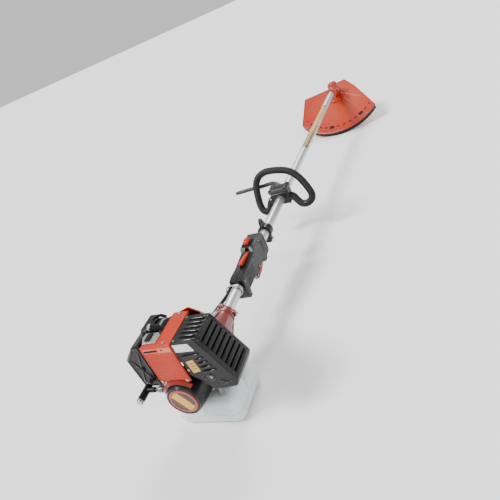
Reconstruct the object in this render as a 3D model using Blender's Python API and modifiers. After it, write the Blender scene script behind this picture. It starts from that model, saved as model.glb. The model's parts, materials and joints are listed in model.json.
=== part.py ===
"""Petrol brush cutter with a loop handle, modelled as separate working pieces.

Units are metres. Every piece is laid out in the shaft's frame: +X to the user's
right, +Y forward along the shaft, +Z up, and Y = 0 just ahead of the clutch
collar. The empty "stance" then sets the machine on the ground.
"""
import math

import bmesh
import bpy
from mathutils import Matrix, Vector

# ---- driving dimensions ----------------------------------------------------
GAP = 0.0003                   # clearance between touching pieces
TUBE_RADIUS = 0.014            # 28 mm aluminium shaft tube
TUBE_WALL = 0.0015
TUBE_REAR = -0.076
TUBE_FRONT = 1.552
DRIVE_RADIUS = 0.004
CRANK_RADIUS = 0.008
STARTER_FACE = -0.319          # rear face of the recoil starter
STARTER_RADIUS = 0.038
CYLINDER_STATION = -0.224      # cylinder axis along the shaft
PISTON_RADIUS = 0.0195
FIN_RADIUS = 0.034
HEAD_HEIGHT = 0.108
COVER_TOP = 0.1385             # top of the engine covers above the crank axis
COVER_REAR = -0.306
FAN_RADIUS = 0.059
FAN_REAR = -0.205
FAN_FRONT = -0.148
ROOF_PLANES = [                # points and outward directions of the duct's facets
    ((0.024, -0.190, 0.135), (-0.264, 0.370, 0.792)),
    ((0.024, -0.190, 0.135), (0.172, 0.669, 0.724)),
    ((0.051, -0.190, 0.117), (0.631, 0.718, 0.291)),
    ((0.051, -0.190, 0.117), (0.391, 0.727, 0.565))]
TANK_TOP = -0.046
TANK_BOTTOM = -0.118
TANK_HALF_WIDTH = 0.080
TANK_REAR = -0.284
TANK_FRONT = -0.142
TANK_ROUNDING = 0.018
REEL_STATION = -0.303
PULL_BAR_HALF = 0.02575        # half length of the starter's pull bar
PULL_BAR_STATION = -0.31025    # its middle along the shaft
ROPE_RADIUS = 0.024            # radius at which the rope leaves the reel
ROPE_FALL = math.radians(1.9)  # slope of the rope below the horizontal
GRIP_REAR = 0.046
GRIP_FRONT = 0.250
LOOP_STATION = 0.520
LOOP_TILT = math.radians(30)   # loop plane leans forward from the vertical
LOOP_GRIP_RADIUS = 0.0115
OUTPUT_STATION = 1.600         # where the output axis crosses the shaft axis
OUTPUT_TILT = math.radians(30)  # blade plane against the shaft
PINION_TEETH = 14
GEAR_TEETH = 19
CONE_LENGTH = 0.024            # bevel gears' outer cone distance
TOOTH_LENGTH = 0.009
GUARD_DROP = 0.042             # guard plate below the shaft axis, along the output
GUARD_THICK = 0.003
GUARD_ARC_RADIUS = 0.221
GUARD_ARC_CENTRE = (0, 0.014)
SKIRT_DEPTH = 0.019
GUARD_NOSE = -0.082            # foremost point of the guard from the output axis

OUTPUT_DOWN = Vector((0, math.sin(OUTPUT_TILT), -math.cos(OUTPUT_TILT)))
GUARD_BACK = Vector((0, -math.cos(OUTPUT_TILT), -math.sin(OUTPUT_TILT)))
GUARD_REACH = GUARD_ARC_CENTRE[1] + GUARD_ARC_RADIUS
SKIRT_FOOT = GUARD_DROP + GUARD_THICK + GAP + SKIRT_DEPTH
AXIS_HEIGHT = SKIRT_FOOT * math.cos(OUTPUT_TILT) + GUARD_REACH * math.sin(OUTPUT_TILT)
NOSE_STATION = OUTPUT_STATION + GUARD_DROP * OUTPUT_DOWN.y + GUARD_NOSE * GUARD_BACK.y
REAR_END = PULL_BAR_STATION - PULL_BAR_HALF
Y_MIDDLE = (NOSE_STATION + GUARD_THICK * OUTPUT_DOWN.y + REAR_END) / 2

QUARTER = math.pi / 2
ALONG_Y = (-QUARTER, 0, 0)     # turns a piece's local Z onto the shaft
SIDE_VIEW = (QUARTER, 0, QUARTER)   # local X, Y become the shaft's Y, Z
REAR_VIEW = (QUARTER, 0, 0)    # local X, Y become X, Z; extrudes along -Y

# ---- colours: base colour, roughness, metallic -----------------------------
FINISHES = {
    "orange_paint": ((0.78, 0.09, 0.03), 0.35, 0.0),
    "dark_red_paint": ((0.42, 0.03, 0.02), 0.35, 0.0),
    "orange_plastic": ((0.80, 0.10, 0.03), 0.4, 0.0),
    "black_plastic": ((0.02, 0.02, 0.022), 0.45, 0.0),
    "grey_plastic": ((0.12, 0.12, 0.13), 0.5, 0.0),
    "rubber": ((0.015, 0.015, 0.016), 0.75, 0.0),
    "tank_plastic": ((0.88, 0.87, 0.84), 0.35, 0.0),
    "aluminium": ((0.75, 0.75, 0.76), 0.35, 1.0),
    "cast_aluminium": ((0.55, 0.55, 0.56), 0.55, 1.0),
    "steel": ((0.5, 0.5, 0.52), 0.3, 1.0),
    "dark_steel": ((0.12, 0.12, 0.12), 0.5, 1.0),
    "foam": ((0.25, 0.22, 0.1), 0.9, 0.0),
    "rope_fibre": ((0.75, 0.74, 0.7), 0.8, 0.0),
}

for old in list(bpy.data.objects):
    bpy.data.objects.remove(old, do_unlink=True)

parts = bpy.data.collections.new("brush_cutter")
cutters = bpy.data.collections.new("cutters")
for collection in (parts, cutters):
    bpy.context.scene.collection.children.link(collection)

stance = bpy.data.objects.new("stance", None)
stance.location = (0, -Y_MIDDLE, AXIS_HEIGHT)
parts.objects.link(stance)


# ---- modelling helpers ------------------------------------------------------
def finish_material(name, finish):
    colour, roughness, metallic = FINISHES[finish]
    material = bpy.data.materials.new(name)
    material.use_nodes = True
    shader = material.node_tree.nodes["Principled BSDF"]
    shader.inputs["Base Color"].default_value = (*colour, 1)
    shader.inputs["Roughness"].default_value = roughness
    shader.inputs["Metallic"].default_value = metallic
    return material


def add_piece(name, mesh, finish, place=(0, 0, 0), turn=(0, 0, 0), parent=None):
    """Link a mesh as a named piece, or as a cutter where finish is None."""
    piece = bpy.data.objects.new(name, mesh)
    piece.parent = parent or stance
    piece.location = place
    piece.rotation_euler = turn
    if finish is None:
        cutters.objects.link(piece)
        piece.hide_render = True
        piece.display_type = "WIRE"
    else:
        parts.objects.link(piece)
        mesh.materials.append(finish_material(name, finish))
        mesh.shade_smooth()
        mesh.set_sharp_from_angle(angle=math.radians(35))
    return piece


def mesh_from(name, build):
    mesh = bpy.data.meshes.new(name)
    bm = bmesh.new()
    build(bm)
    bm.to_mesh(mesh)
    bm.free()
    return mesh


def bevel(piece, width, segments=1):
    modifier = piece.modifiers.new("rounded edges", "BEVEL")
    modifier.width = width
    modifier.segments = segments
    modifier.limit_method = "ANGLE"
    modifier.angle_limit = math.radians(30)
    return piece


def box(name, finish, low, high, rounding=0.0, segments=1, parent=None):
    """A box between two corners, with its origin at its middle."""
    size = [b - a for a, b in zip(low, high)]
    middle = [(a + b) / 2 for a, b in zip(low, high)]

    def build(bm):
        bmesh.ops.create_cube(bm, size=1, matrix=Matrix.Diagonal((*size, 1)))

    piece = add_piece(name, mesh_from(name, build), finish, middle, parent=parent)
    if rounding:
        bevel(piece, rounding, segments)
    return piece


def rod(name, finish, radius, start, end, sides=20):
    """A solid round bar between two points."""
    start, end = Vector(start), Vector(end)
    span = end - start

    def build(bm):
        bmesh.ops.create_cone(bm, cap_ends=True, segments=sides, radius1=radius,
                              radius2=radius, depth=span.length)

    turn = span.to_track_quat("Z", "Y").to_euler()
    return add_piece(name, mesh_from(name, build), finish, (start + end) / 2, turn)


def turned(name, finish, profile, place=(0, 0, 0), turn=ALONG_Y, steps=24, parent=None):
    """A turned piece. The profile of (radius, height) points runs down the outer
    side and back up the bore; heights are along the local Z axis."""
    bored = all(radius > 0 for radius, height in profile)

    def build(bm):
        points = [bm.verts.new((radius, 0, height)) for radius, height in profile]
        for first, second in zip(points, points[1:]):
            bm.edges.new((first, second))
        if bored:
            bm.edges.new((points[-1], points[0]))

    piece = add_piece(name, mesh_from(name, build), finish, place, turn, parent)
    screw = piece.modifiers.new("turned", "SCREW")
    screw.axis = "Z"
    screw.angle = math.tau
    screw.steps = steps
    screw.render_steps = steps
    screw.use_merge_vertices = True
    screw.merge_threshold = 0.00001
    return piece


def ring(name, finish, outer, inner, start, end, place=(0, 0, 0), turn=ALONG_Y, steps=24):
    profile = [(outer, end), (outer, start), (inner, start), (inner, end)]
    return turned(name, finish, profile, place, turn, steps)


def slab(name, finish, outline, start, end, turn, place=(0, 0, 0), parent=None):
    """A flat outline extruded along its local Z axis, from start to end."""
    curve = bpy.data.curves.new(name, "CURVE")
    curve.dimensions = "2D"
    curve.fill_mode = "BOTH"
    curve.extrude = (end - start) / 2
    spline = curve.splines.new("POLY")
    spline.points.add(len(outline) - 1)
    for point, (x, y) in zip(spline.points, outline):
        point.co = (x, y, 0, 1)
    spline.use_cyclic_u = True
    mesh = solid_from(curve, name)
    mesh.transform(Matrix.Translation((0, 0, (start + end) / 2)))
    return add_piece(name, mesh, finish, place, turn, parent)


def pipe(name, finish, route, radius, resolution=2, smooth=0, parent=None, place=(0, 0, 0)):
    """A round bar bent along a route, with flat ends."""
    if smooth:
        route = smooth_route(route, smooth)
    curve = bpy.data.curves.new(name, "CURVE")
    curve.dimensions = "3D"
    curve.bevel_depth = radius
    curve.bevel_resolution = resolution
    curve.use_fill_caps = True
    spline = curve.splines.new("POLY")
    spline.points.add(len(route) - 1)
    for point, position in zip(spline.points, route):
        point.co = (*position, 1)
    return add_piece(name, solid_from(curve, name), finish, place, parent=parent)


def smooth_route(route, steps):
    """Points on a Catmull-Rom curve through the route."""
    knots = [Vector(p) for p in route]
    knots = [2 * knots[0] - knots[1]] + knots + [2 * knots[-1] - knots[-2]]
    points = []
    for a, b, c, d in zip(knots, knots[1:], knots[2:], knots[3:]):
        for step in range(steps):
            t = step / steps
            points.append(0.5 * ((2 * b) + (c - a) * t + (2 * a - 5 * b + 4 * c - d) * t ** 2
                                 + (3 * b - a - 3 * c + d) * t ** 3))
    points.append(knots[-2])
    return points


def solid_from(curve, name):
    """Turn a curve into a welded mesh and drop the curve."""
    holder = bpy.data.objects.new(name + "_curve", curve)
    bpy.context.scene.collection.objects.link(holder)
    evaluated = holder.evaluated_get(bpy.context.evaluated_depsgraph_get())
    mesh = bpy.data.meshes.new_from_object(evaluated)
    bpy.data.objects.remove(holder)
    bm = bmesh.new()
    bm.from_mesh(mesh)
    bmesh.ops.remove_doubles(bm, verts=bm.verts, dist=0.00001)
    bmesh.ops.recalc_face_normals(bm, faces=bm.faces)
    bm.to_mesh(mesh)
    bm.free()
    return mesh


def combine(piece, operation, tools):
    for tool in tools:
        modifier = piece.modifiers.new(tool.name, "BOOLEAN")
        modifier.operation = operation
        modifier.solver = "EXACT"
        modifier.object = tool
    return piece


def cut(piece, *tools):
    return combine(piece, "DIFFERENCE", tools)


def unite(piece, *tools):
    return combine(piece, "UNION", tools)


def arc(centre, radius, start, end, count):
    """Points on an arc; angles in degrees from +X, counter-clockwise."""
    angles = [math.radians(start + (end - start) * i / count) for i in range(count + 1)]
    return [(centre[0] + radius * math.cos(a), centre[1] + radius * math.sin(a)) for a in angles]


# ---- engine -----------------------------------------------------------------
def make_crankcase():
    bearing_radius = 0.016
    seat = bearing_radius + GAP
    chamber = 0.025
    outer = 0.033
    case = turned("crankcase", "cast_aluminium",
                  [(outer, -0.184), (outer, -0.260), (seat, -0.260), (seat, -0.242),
                   (chamber, -0.242), (chamber, -0.208), (seat, -0.208), (seat, -0.184)])
    port = rod("crankcase_port", None, 0.018, (0, CYLINDER_STATION, 0.015),
               (0, CYLINDER_STATION, 0.040), 16)
    cut(case, port)
    for name, start in (("crank_bearing_rear", -0.256), ("crank_bearing_front", -0.204)):
        ring(name, "steel", bearing_radius, CRANK_RADIUS + GAP, start, start + 0.010)


def make_crankshaft():
    web, throw, pin = 0.023, 0.010, 0.005
    ratchet = 0.014
    shaft = turned("crankshaft", "steel",
                   [(0, -0.229), (web, -0.229), (web, -0.236), (CRANK_RADIUS, -0.236),
                    (CRANK_RADIUS, -0.289), (ratchet, -0.289), (ratchet, -0.295),
                    (0, -0.295)], steps=20)
    front = turned("crankshaft_front", None,
                   [(0, -0.129), (CRANK_RADIUS, -0.129), (CRANK_RADIUS, -0.212),
                    (web, -0.212), (web, -0.219), (0, -0.219)], steps=20)
    crank_pin = rod("crankshaft_pin", None, pin, (0, -0.232, throw), (0, -0.216, throw), 12)
    unite(shaft, front, crank_pin)


def make_cylinder():
    barrel, bore, base = 0.0245, PISTON_RADIUS + 0.0005, 0.0335
    fin, pitch, first = 0.003, 0.010, 0.046
    profile = [(0, HEAD_HEIGHT), (FIN_RADIUS, HEAD_HEIGHT)]
    height = HEAD_HEIGHT - fin
    while height > first:
        profile += [(FIN_RADIUS, height), (barrel, height)]
        height -= pitch - fin
        profile += [(barrel, height), (FIN_RADIUS, height)]
        height -= fin
    profile += [(FIN_RADIUS, height), (barrel, height), (barrel, base), (bore, base),
                (bore, HEAD_HEIGHT - 0.014), (0, HEAD_HEIGHT - 0.014)]
    turned("cylinder", "cast_aluminium", profile, (0, CYLINDER_STATION, 0), (0, 0, 0), 16)
    crown, skirt, wall = 0.090, 0.064, 0.0025
    turned("piston", "aluminium",
           [(0, crown), (PISTON_RADIUS, crown), (PISTON_RADIUS, skirt),
            (PISTON_RADIUS - wall, skirt), (PISTON_RADIUS - wall, crown - wall),
            (0, crown - wall)], (0, CYLINDER_STATION, 0), (0, 0, 0), 20)


def make_spark_plug():
    foot = Vector((-0.008, -0.238, HEAD_HEIGHT + GAP + 0.0065))
    lean = Vector((-0.62, -0.36, 0.70)).normalized()
    turn = lean.to_track_quat("Z", "Y").to_euler()
    turned("spark_plug", "steel",
           [(0, 0.026), (0.003, 0.026), (0.004, 0.012), (0.008, 0.010), (0.008, 0), (0, 0)],
           foot, turn, 12)
    turned("plug_boot", "rubber",
           [(0, 0.046), (0.009, 0.044), (0.0095, 0.014), (0.0045, 0.014),
            (0.0045, 0.0275), (0, 0.0275)], foot, turn, 16)


def make_flywheel():
    rim, hub = 0.050, 0.018
    wheel = turned("flywheel", "cast_aluminium",
                   [(hub, -0.150), (hub, -0.174), (rim, -0.174), (rim, -0.180),
                    (CRANK_RADIUS + GAP, -0.180), (CRANK_RADIUS + GAP, -0.150)])
    blade_count, thick = 10, 0.003
    for index in range(blade_count):
        angle = math.tau * index / blade_count
        blade = box(f"fan_blade_{index}", None, (0.016, -thick / 2, -0.1755),
                    (0.048, thick / 2, -0.1535))
        spin = Matrix.Rotation(angle, 4, "Z") @ Matrix.Translation(blade.location)
        blade.data.transform(spin)
        blade.location = (0, 0, 0)
        blade.rotation_euler = ALONG_Y
        unite(wheel, blade)


def make_clutch():
    """Two centrifugal shoes on the crankshaft inside a drum on the drive shaft."""
    shoe, bore, slot = 0.0265, CRANK_RADIUS + GAP, 0.0025
    shoes = ring("clutch_shoes", "dark_steel", shoe, bore, -0.148, -0.132, steps=32)
    for side in (-1, 1):
        gap_box = box(f"clutch_slot_{side}", None, (side * 0.019 - 0.009, -0.151, -slot),
                      (side * 0.019 + 0.009, -0.129, slot))
        cut(shoes, gap_box)
    drum_out, drum_in, boss = 0.031, 0.028, 0.010
    turned("clutch_drum", "steel",
           [(0, -0.080), (boss, -0.080), (boss, -0.122), (drum_out, -0.122),
            (drum_out, -0.150), (drum_in, -0.150), (drum_in, -0.125), (0, -0.125)])
    ring("drum_bearing", "steel", 0.016, boss + GAP, -0.114, -0.102)


def make_clutch_housing():
    socket = TUBE_RADIUS + GAP
    seat = 0.016 + GAP
    turned("clutch_housing", "dark_red_paint",
           [(0.0228, -0.050), (0.0240, -0.052), (0.0240, -0.064), (0.0252, -0.074),
            (0.0300, -0.096), (0.0372, -0.118), (0.0405, -0.136), (0.050, -0.139),
            (0.050, -0.1477), (0.0335, -0.1477), (0.0335, -0.118), (seat, -0.118),
            (seat, -0.096), (socket, -0.096), (socket, -0.050)], steps=32)


def fan_outline(inset):
    """Round fan case that opens upward into the duct over the cylinder."""
    radius = FAN_RADIUS - inset
    left, right, top = inset - 0.041, 0.058 - inset, COVER_TOP + 0.0065 - inset
    chamfer = 0.012
    bowl = arc((0, 0), radius, -210, 30, 24)
    return bowl + [(right, 0.036), (right, top - chamfer), (right - chamfer, top),
                   (left + chamfer, top), (left, top - chamfer), (left, 0.049)]


def roof_cutters(name, inset):
    """Four slanted half spaces that round the duct off towards its front and right."""
    cutters = []
    for index, (point, away) in enumerate(ROOF_PLANES):
        normal = Vector(away).normalized()
        reach = 0.10
        block = box(f"{name}_{index}", None, (-reach, -reach, 0), (reach, reach, reach))
        block.location = Vector(point) + normal * (reach / 2 - inset)
        block.rotation_euler = normal.to_track_quat("Z", "Y").to_euler()
        cutters.append(block)
    return cutters


def make_fan_housing():
    wall, hole = 0.003, 0.036
    case = slab("fan_housing", "orange_paint", fan_outline(0), -FAN_FRONT, -FAN_REAR, REAR_VIEW)
    cut(case, *roof_cutters("fan_roof", 0))
    room = slab("fan_room", None, fan_outline(wall), wall - FAN_FRONT, 0.02 - FAN_REAR,
                REAR_VIEW)
    cut(room, *roof_cutters("room_roof", wall))
    eye = rod("fan_eye", None, hole, (0, FAN_FRONT - 0.02, 0), (0, FAN_FRONT + 0.02, 0), 32)
    cut(case, room, eye)


def make_ignition_coil():
    box("ignition_coil", "black_plastic", (-0.016, -0.174, 0.0615), (0.016, -0.158, 0.086),
        0.002)


# ---- recoil starter -----------------------------------------------------------
def rope_point(distance):
    """A point on the rope, measured from where it leaves the reel."""
    out = Vector((-math.cos(ROPE_FALL), 0, -math.sin(ROPE_FALL)))
    leave = Vector((-ROPE_RADIUS * math.sin(ROPE_FALL), REEL_STATION,
                    ROPE_RADIUS * math.cos(ROPE_FALL)))
    return leave + out * distance


def make_starter():
    wall, front = 0.003, -0.2605
    rear = STARTER_FACE
    post = 0.0045
    housing = turned("starter_housing", "black_plastic",
                     [(0, rear + 0.0205), (post, rear + 0.0205), (post, rear + wall),
                      (STARTER_RADIUS - 0.002, rear + wall), (STARTER_RADIUS, front),
                      (STARTER_RADIUS + 0.003, front), (STARTER_RADIUS + 0.001, rear + 0.004),
                      (STARTER_RADIUS - 0.003, rear), (0, rear)], steps=32)
    rope_hole = rod("rope_hole", None, 0.0035, rope_point(0.020), rope_point(0.055), 12)
    cut(housing, rope_hole)
    reel_rim, groove = 0.028, ROPE_RADIUS - 0.0025
    half, flange = 0.0045, 0.0015
    turned("starter_reel", "grey_plastic",
           [(reel_rim, half), (reel_rim, half - flange), (groove, half - flange),
            (groove, flange - half), (reel_rim, flange - half), (reel_rim, -half),
            (post + GAP, -half), (post + GAP, half)], (0, REEL_STATION, 0))
    guide_start, guide_end, guide_bore = 0.030, 0.056, 0.0032
    guide = rod("rope_guide", "grey_plastic", 0.0065, rope_point(guide_start),
                rope_point(guide_end), 16)
    bore = rod("rope_guide_bore", None, guide_bore, rope_point(guide_start - 0.01),
               rope_point(guide_end + 0.01), 12)
    body = rod("rope_guide_seat", None, STARTER_RADIUS + 0.003 + GAP, (0, -0.325, 0),
               (0, -0.250, 0), 48)
    cut(guide, bore, body)
    rod("starter_rope", "rope_fibre", 0.00175, rope_point(0.027), rope_point(0.082), 8)


def make_starter_handle():
    """The pull handle: a bar along the shaft with a stub that the rope enters."""
    knot = rope_point(0.0893)
    centre = Vector((knot.x, PULL_BAR_STATION, knot.z))
    reach = Vector((0, PULL_BAR_HALF, 0))
    handle = rod("starter_handle", "black_plastic", 0.0075, centre + reach, centre - reach, 16)
    bevel(handle, 0.002)
    stub = rod("starter_handle_stub", None, 0.0060, knot, rope_point(0.0655), 12)
    rope_bore = rod("starter_handle_bore", None, 0.0022, rope_point(0.083), rope_point(0.060), 8)
    unite(handle, stub)
    cut(handle, rope_bore)


# ---- covers -------------------------------------------------------------------
def make_cylinder_cover():
    """Ribbed rear panel with a top band, arched over the starter."""
    thick = 0.003
    left, right, foot = -0.036, 0.0355, 0.042
    panel = box("cylinder_cover", "orange_plastic", (left, COVER_REAR, foot),
                (right, COVER_REAR + thick, COVER_TOP - 0.004))
    band = box("cover_band", None, (-0.001, COVER_REAR, COVER_TOP - 0.006),
               (right, -0.2055, COVER_TOP), 0.0015)
    ledge = box("cover_ledge", None, (left, COVER_REAR, COVER_TOP - 0.010),
                (0.005, COVER_REAR + 0.012, COVER_TOP - 0.0015))
    cheek = box("cover_cheek", None, (left, COVER_REAR + 0.001, 0.060),
                (left + thick, -0.275, COVER_TOP - 0.006))
    arch = rod("cover_arch", None, STARTER_RADIUS + 0.0042, (0, -0.33, 0), (0, -0.29, 0), 40)
    unite(panel, band, ledge, cheek)
    cut(panel, arch)


def make_muffler_cover():
    rear, front, wall = -0.303, -0.222, 0.003
    top = COVER_TOP
    inner_edge = 0.0362
    shoulder, flank = (0.092, top), (0.136, 0.034)
    outline = [(inner_edge, top), shoulder, flank, (0.128, 0.018), (0.072, 0.012),
               (0.058, 0.036), (inner_edge, 0.056)]
    hollow = [(inner_edge - 0.01, top - wall), (0.0900, top - wall), (0.1327, 0.0341),
              (0.1260, 0.0208), (0.0736, 0.0152), (0.0603, 0.0379), (0.026, 0.0694)]
    cover = slab("muffler_cover", "black_plastic", outline, -front, -rear, REAR_VIEW)
    bevel(cover, 0.0015)
    room = slab("muffler_room", None, hollow, -front - 0.01, -rear - wall, REAR_VIEW)
    cut(cover, room)
    slot_count = 8
    lean = math.atan2(flank[0] - shoulder[0], top - flank[1])
    face_middle = Vector(((shoulder[0] + flank[0]) / 2, (front + rear) / 2,
                          (top + flank[1]) / 2))
    down = Vector((math.sin(lean), 0, -math.cos(lean)))
    for index in range(slot_count):
        offset = (index - (slot_count - 1) / 2) * 0.0125
        slot = box(f"muffler_slot_{index}", None, (-0.010, -0.030, -0.0022),
                   (0.010, 0.030, 0.0022))
        slot.location = face_middle + down * offset
        slot.rotation_euler = (0, -lean, 0)
        cut(cover, slot)
    muffler = box("muffler", "dark_steel", (0.041, -0.292, 0.066), (0.086, -0.228, 0.124),
                  0.006, 2)
    flange = box("muffler_flange", None, (FIN_RADIUS + 0.0004, -0.241, 0.070),
                 (0.045, -0.231, 0.092))
    unite(muffler, flange)


def make_intake():
    mount = -FIN_RADIUS - 0.0004
    carb_right, carb_left = mount, -0.062
    carburetor = box("carburetor", "cast_aluminium", (carb_left, -0.242, 0.048),
                     (carb_right, -0.208, 0.084), 0.003)
    throat = rod("carburetor_throat", None, 0.008, (carb_left - 0.01, CYLINDER_STATION, 0.066),
                 (carb_right + 0.01, CYLINDER_STATION, 0.066), 16)
    cut(carburetor, throat)
    base_right, base_left = carb_left - GAP, -0.066
    rear, front = -0.281, -0.208
    base = box("filter_base", "black_plastic", (base_left, rear, 0.008),
               (base_right, front, 0.124), 0.0015)
    breather = rod("filter_base_hole", None, 0.009, (base_left - 0.01, CYLINDER_STATION, 0.066),
                   (base_right + 0.01, CYLINDER_STATION, 0.066), 16)
    cut(base, breather)
    cover_right = base_left - GAP
    outline = [(cover_right, 0.124), (-0.084, 0.120), (-0.116, 0.088), (-0.112, 0.014),
               (-0.104, 0.008), (cover_right, 0.008)]
    hollow = [(cover_right + 0.01, 0.121), (-0.083, 0.117), (-0.113, 0.087),
              (-0.109, 0.0165), (-0.103, 0.011), (cover_right + 0.01, 0.011)]
    cover = slab("filter_cover", "black_plastic", outline, -front, -rear, REAR_VIEW)
    bevel(cover, 0.002)
    room = slab("filter_room", None, hollow, -front + 0.003, -rear - 0.003, REAR_VIEW)
    cut(cover, room)
    box("filter_element", "foam", (-0.088, -0.273, 0.020), (base_left - GAP, -0.216, 0.108),
        0.003)
    dome = box("intake_cover", "black_plastic", (-0.062, -0.258, 0.108),
               (-0.0413, -0.2055, COVER_TOP + 0.004), 0.004)
    dome_room = box("intake_cover_room", None, (-0.058, -0.254, 0.100),
                    (-0.030, -0.2095, COVER_TOP))
    cut(dome, dome_room)


CHOKE_PIVOT = Vector((-0.0585, -0.262, 0.040))


def make_choke_lever():
    outline = arc((0, 0), 0.006, -60, 120, 8) + [(-0.022, 0.001), (-0.026, -0.005),
                                                 (-0.022, -0.009)]
    slab("choke_lever", "grey_plastic", outline, -0.0015, 0.0015, SIDE_VIEW, CHOKE_PIVOT)


# ---- fuel tank ------------------------------------------------------------------
CAP_CENTRE = Vector((-TANK_HALF_WIDTH, -0.186, -0.092))


def tank_block(name, finish, front, top, inset):
    half = TANK_HALF_WIDTH - inset
    return box(name, finish, (-half, TANK_REAR + inset, TANK_BOTTOM + inset),
               (half, front - inset, top - inset), TANK_ROUNDING - inset / 2, 3)


def make_tank():
    """A low block with a taller one at the rear, hollow to an even wall."""
    wall, step, shelf = 0.0025, -0.209, TANK_TOP - 0.021
    tank = tank_block("fuel_tank", "tank_plastic", TANK_FRONT, shelf, 0)
    hollow = tank_block("tank_hollow", None, TANK_FRONT, shelf, wall)
    unite(tank, tank_block("tank_rear", None, step, TANK_TOP, 0))
    unite(hollow, tank_block("tank_hollow_rear", None, step, TANK_TOP, wall))
    neck_radius, neck_length = 0.0165, 0.007
    outward = Vector((-1, 0, 0))
    neck = rod("tank_neck", None, neck_radius, CAP_CENTRE - outward * 0.004,
               CAP_CENTRE + outward * neck_length, 24)
    mouth = rod("tank_mouth", None, neck_radius - wall, CAP_CENTRE - outward * 0.010,
                CAP_CENTRE + outward * 0.02, 24)
    unite(tank, neck)
    cut(tank, hollow, mouth)
    cap_out, cap_in = neck_radius + 0.0035, neck_radius + GAP
    turned("fuel_cap", "black_plastic",
           [(0, 0.013), (cap_out - 0.002, 0.013), (cap_out, 0.011), (cap_out, 0.001),
            (cap_in, 0.001), (cap_in, neck_length + GAP), (0, neck_length + GAP)],
           CAP_CENTRE, (0, -QUARTER, 0))
    rod("fuel_fitting", "grey_plastic", 0.0055, (0.050, -0.262, TANK_TOP + GAP),
        (0.050, -0.262, -0.020), 12)


# ---- shaft ------------------------------------------------------------------------
def make_shaft():
    inner = TUBE_RADIUS - TUBE_WALL
    ring("shaft_tube", "aluminium", TUBE_RADIUS, inner, TUBE_REAR, TUBE_FRONT, steps=28)
    rod("drive_shaft", "steel", DRIVE_RADIUS, (0, TUBE_REAR - 0.003, 0), (0, 1.541, 0), 12)
    for number, station in enumerate((0.42, 1.02), start=1):
        ring(f"shaft_bush_{number}", "rubber", inner - GAP, DRIVE_RADIUS + GAP, station,
             station + 0.030, steps=16)


CABLE_ROUTE = [(-0.0195, 0.0455, 0.004), (-0.0200, 0.030, 0.0035), (-0.021, 0.010, 0.003),
               (-0.0300, -0.026, 0.002), (-0.0325, -0.068, 0.010), (-0.042, -0.095, 0.035),
               (-0.052, -0.118, 0.060), (-0.0555, -0.160, 0.079), (-0.0540, -0.192, 0.077),
               (-0.052, -0.2050, 0.074)]


def make_cable():
    pipe("throttle_cable", "rubber", CABLE_ROUTE, 0.0045, 2, smooth=2)


# ---- throttle grip ------------------------------------------------------------------
TRIGGER_PIVOT = Vector((0, 0.206, -0.0255))
LOCKOUT_PIVOT = Vector((0, 0.163, 0.0225))
BUTTON_CENTRE = Vector((-0.0255, 0.181, 0.026))
BUTTON_RADIUS = 0.0054
GRIP_TOP = 0.039


def make_grip():
    outline = [(GRIP_REAR, 0.019), (GRIP_REAR, -0.030), (0.050, -0.040), (0.062, -0.040),
               (0.066, -0.022), (0.118, -0.021), (0.128, -0.036), (0.138, -0.037),
               (0.146, -0.0215), (0.196, -0.0215), (0.200, -0.034), (0.214, -0.036),
               (0.226, -0.028), (0.246, -0.026), (GRIP_FRONT, -0.014), (GRIP_FRONT, 0.026),
               (0.240, GRIP_TOP), (0.172, GRIP_TOP), (0.160, 0.027), (0.098, 0.0215),
               (0.060, 0.022)]
    half, seam = 0.0195, GAP / 2
    bore = TUBE_RADIUS + GAP
    for side, name in ((-1, "grip_left"), (1, "grip_right")):
        near, far = sorted((side * seam, side * half))
        shell = slab(name, "black_plastic", outline, near, far, SIDE_VIEW)
        bevel(shell, 0.004)
        tube_bore = rod(f"{name}_bore", None, bore, (0, 0.02, 0), (0, 0.28, 0), 28)
        trigger_slot = box(f"{name}_trigger_slot", None, (-0.0058, 0.140, -0.060),
                           (0.0058, 0.2135, -0.0165))
        lockout_slot = box(f"{name}_lockout_slot", None, (-0.0058, 0.098, 0.0165),
                           (0.0058, 0.171, 0.050))
        cut(shell, tube_bore, trigger_slot, lockout_slot)
        if side < 0:
            well_floor = BUTTON_CENTRE + Vector((0.0105, 0, 0))
            button_well = rod("lock_button_well", None, BUTTON_RADIUS + 0.0004, well_floor,
                              well_floor - Vector((0.015, 0, 0)), 16)
            cut(shell, button_well)


def make_grip_controls():
    trigger = [(-0.006, 0.004), (0.004, 0.004), (0.0065, -0.004), (0.005, -0.016),
               (-0.020, -0.026), (-0.052, -0.029), (-0.060, -0.026), (-0.058, -0.022),
               (-0.030, -0.017), (-0.012, -0.008)]
    slab("throttle_trigger", "orange_plastic", trigger, -0.005, 0.005, SIDE_VIEW, TRIGGER_PIVOT)
    lockout = [(0.004, -0.004), (0.006, 0.000), (0.003, 0.006), (-0.020, 0.008),
               (-0.056, 0.012), (-0.061, 0.009), (-0.060, 0.003), (-0.020, 0.000),
               (-0.004, -0.004)]
    slab("lockout_lever", "orange_plastic", lockout, -0.005, 0.005, SIDE_VIEW, LOCKOUT_PIVOT)
    box("stop_switch", "orange_plastic", (-0.0125, 0.180, GRIP_TOP + GAP),
        (0.003, 0.204, GRIP_TOP + 0.012), 0.002)
    button = rod("lock_button", "grey_plastic", BUTTON_RADIUS,
                 BUTTON_CENTRE + Vector((0.006, 0, 0)), BUTTON_CENTRE - Vector((0.001, 0, 0)), 16)
    bevel(button, 0.001)


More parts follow.
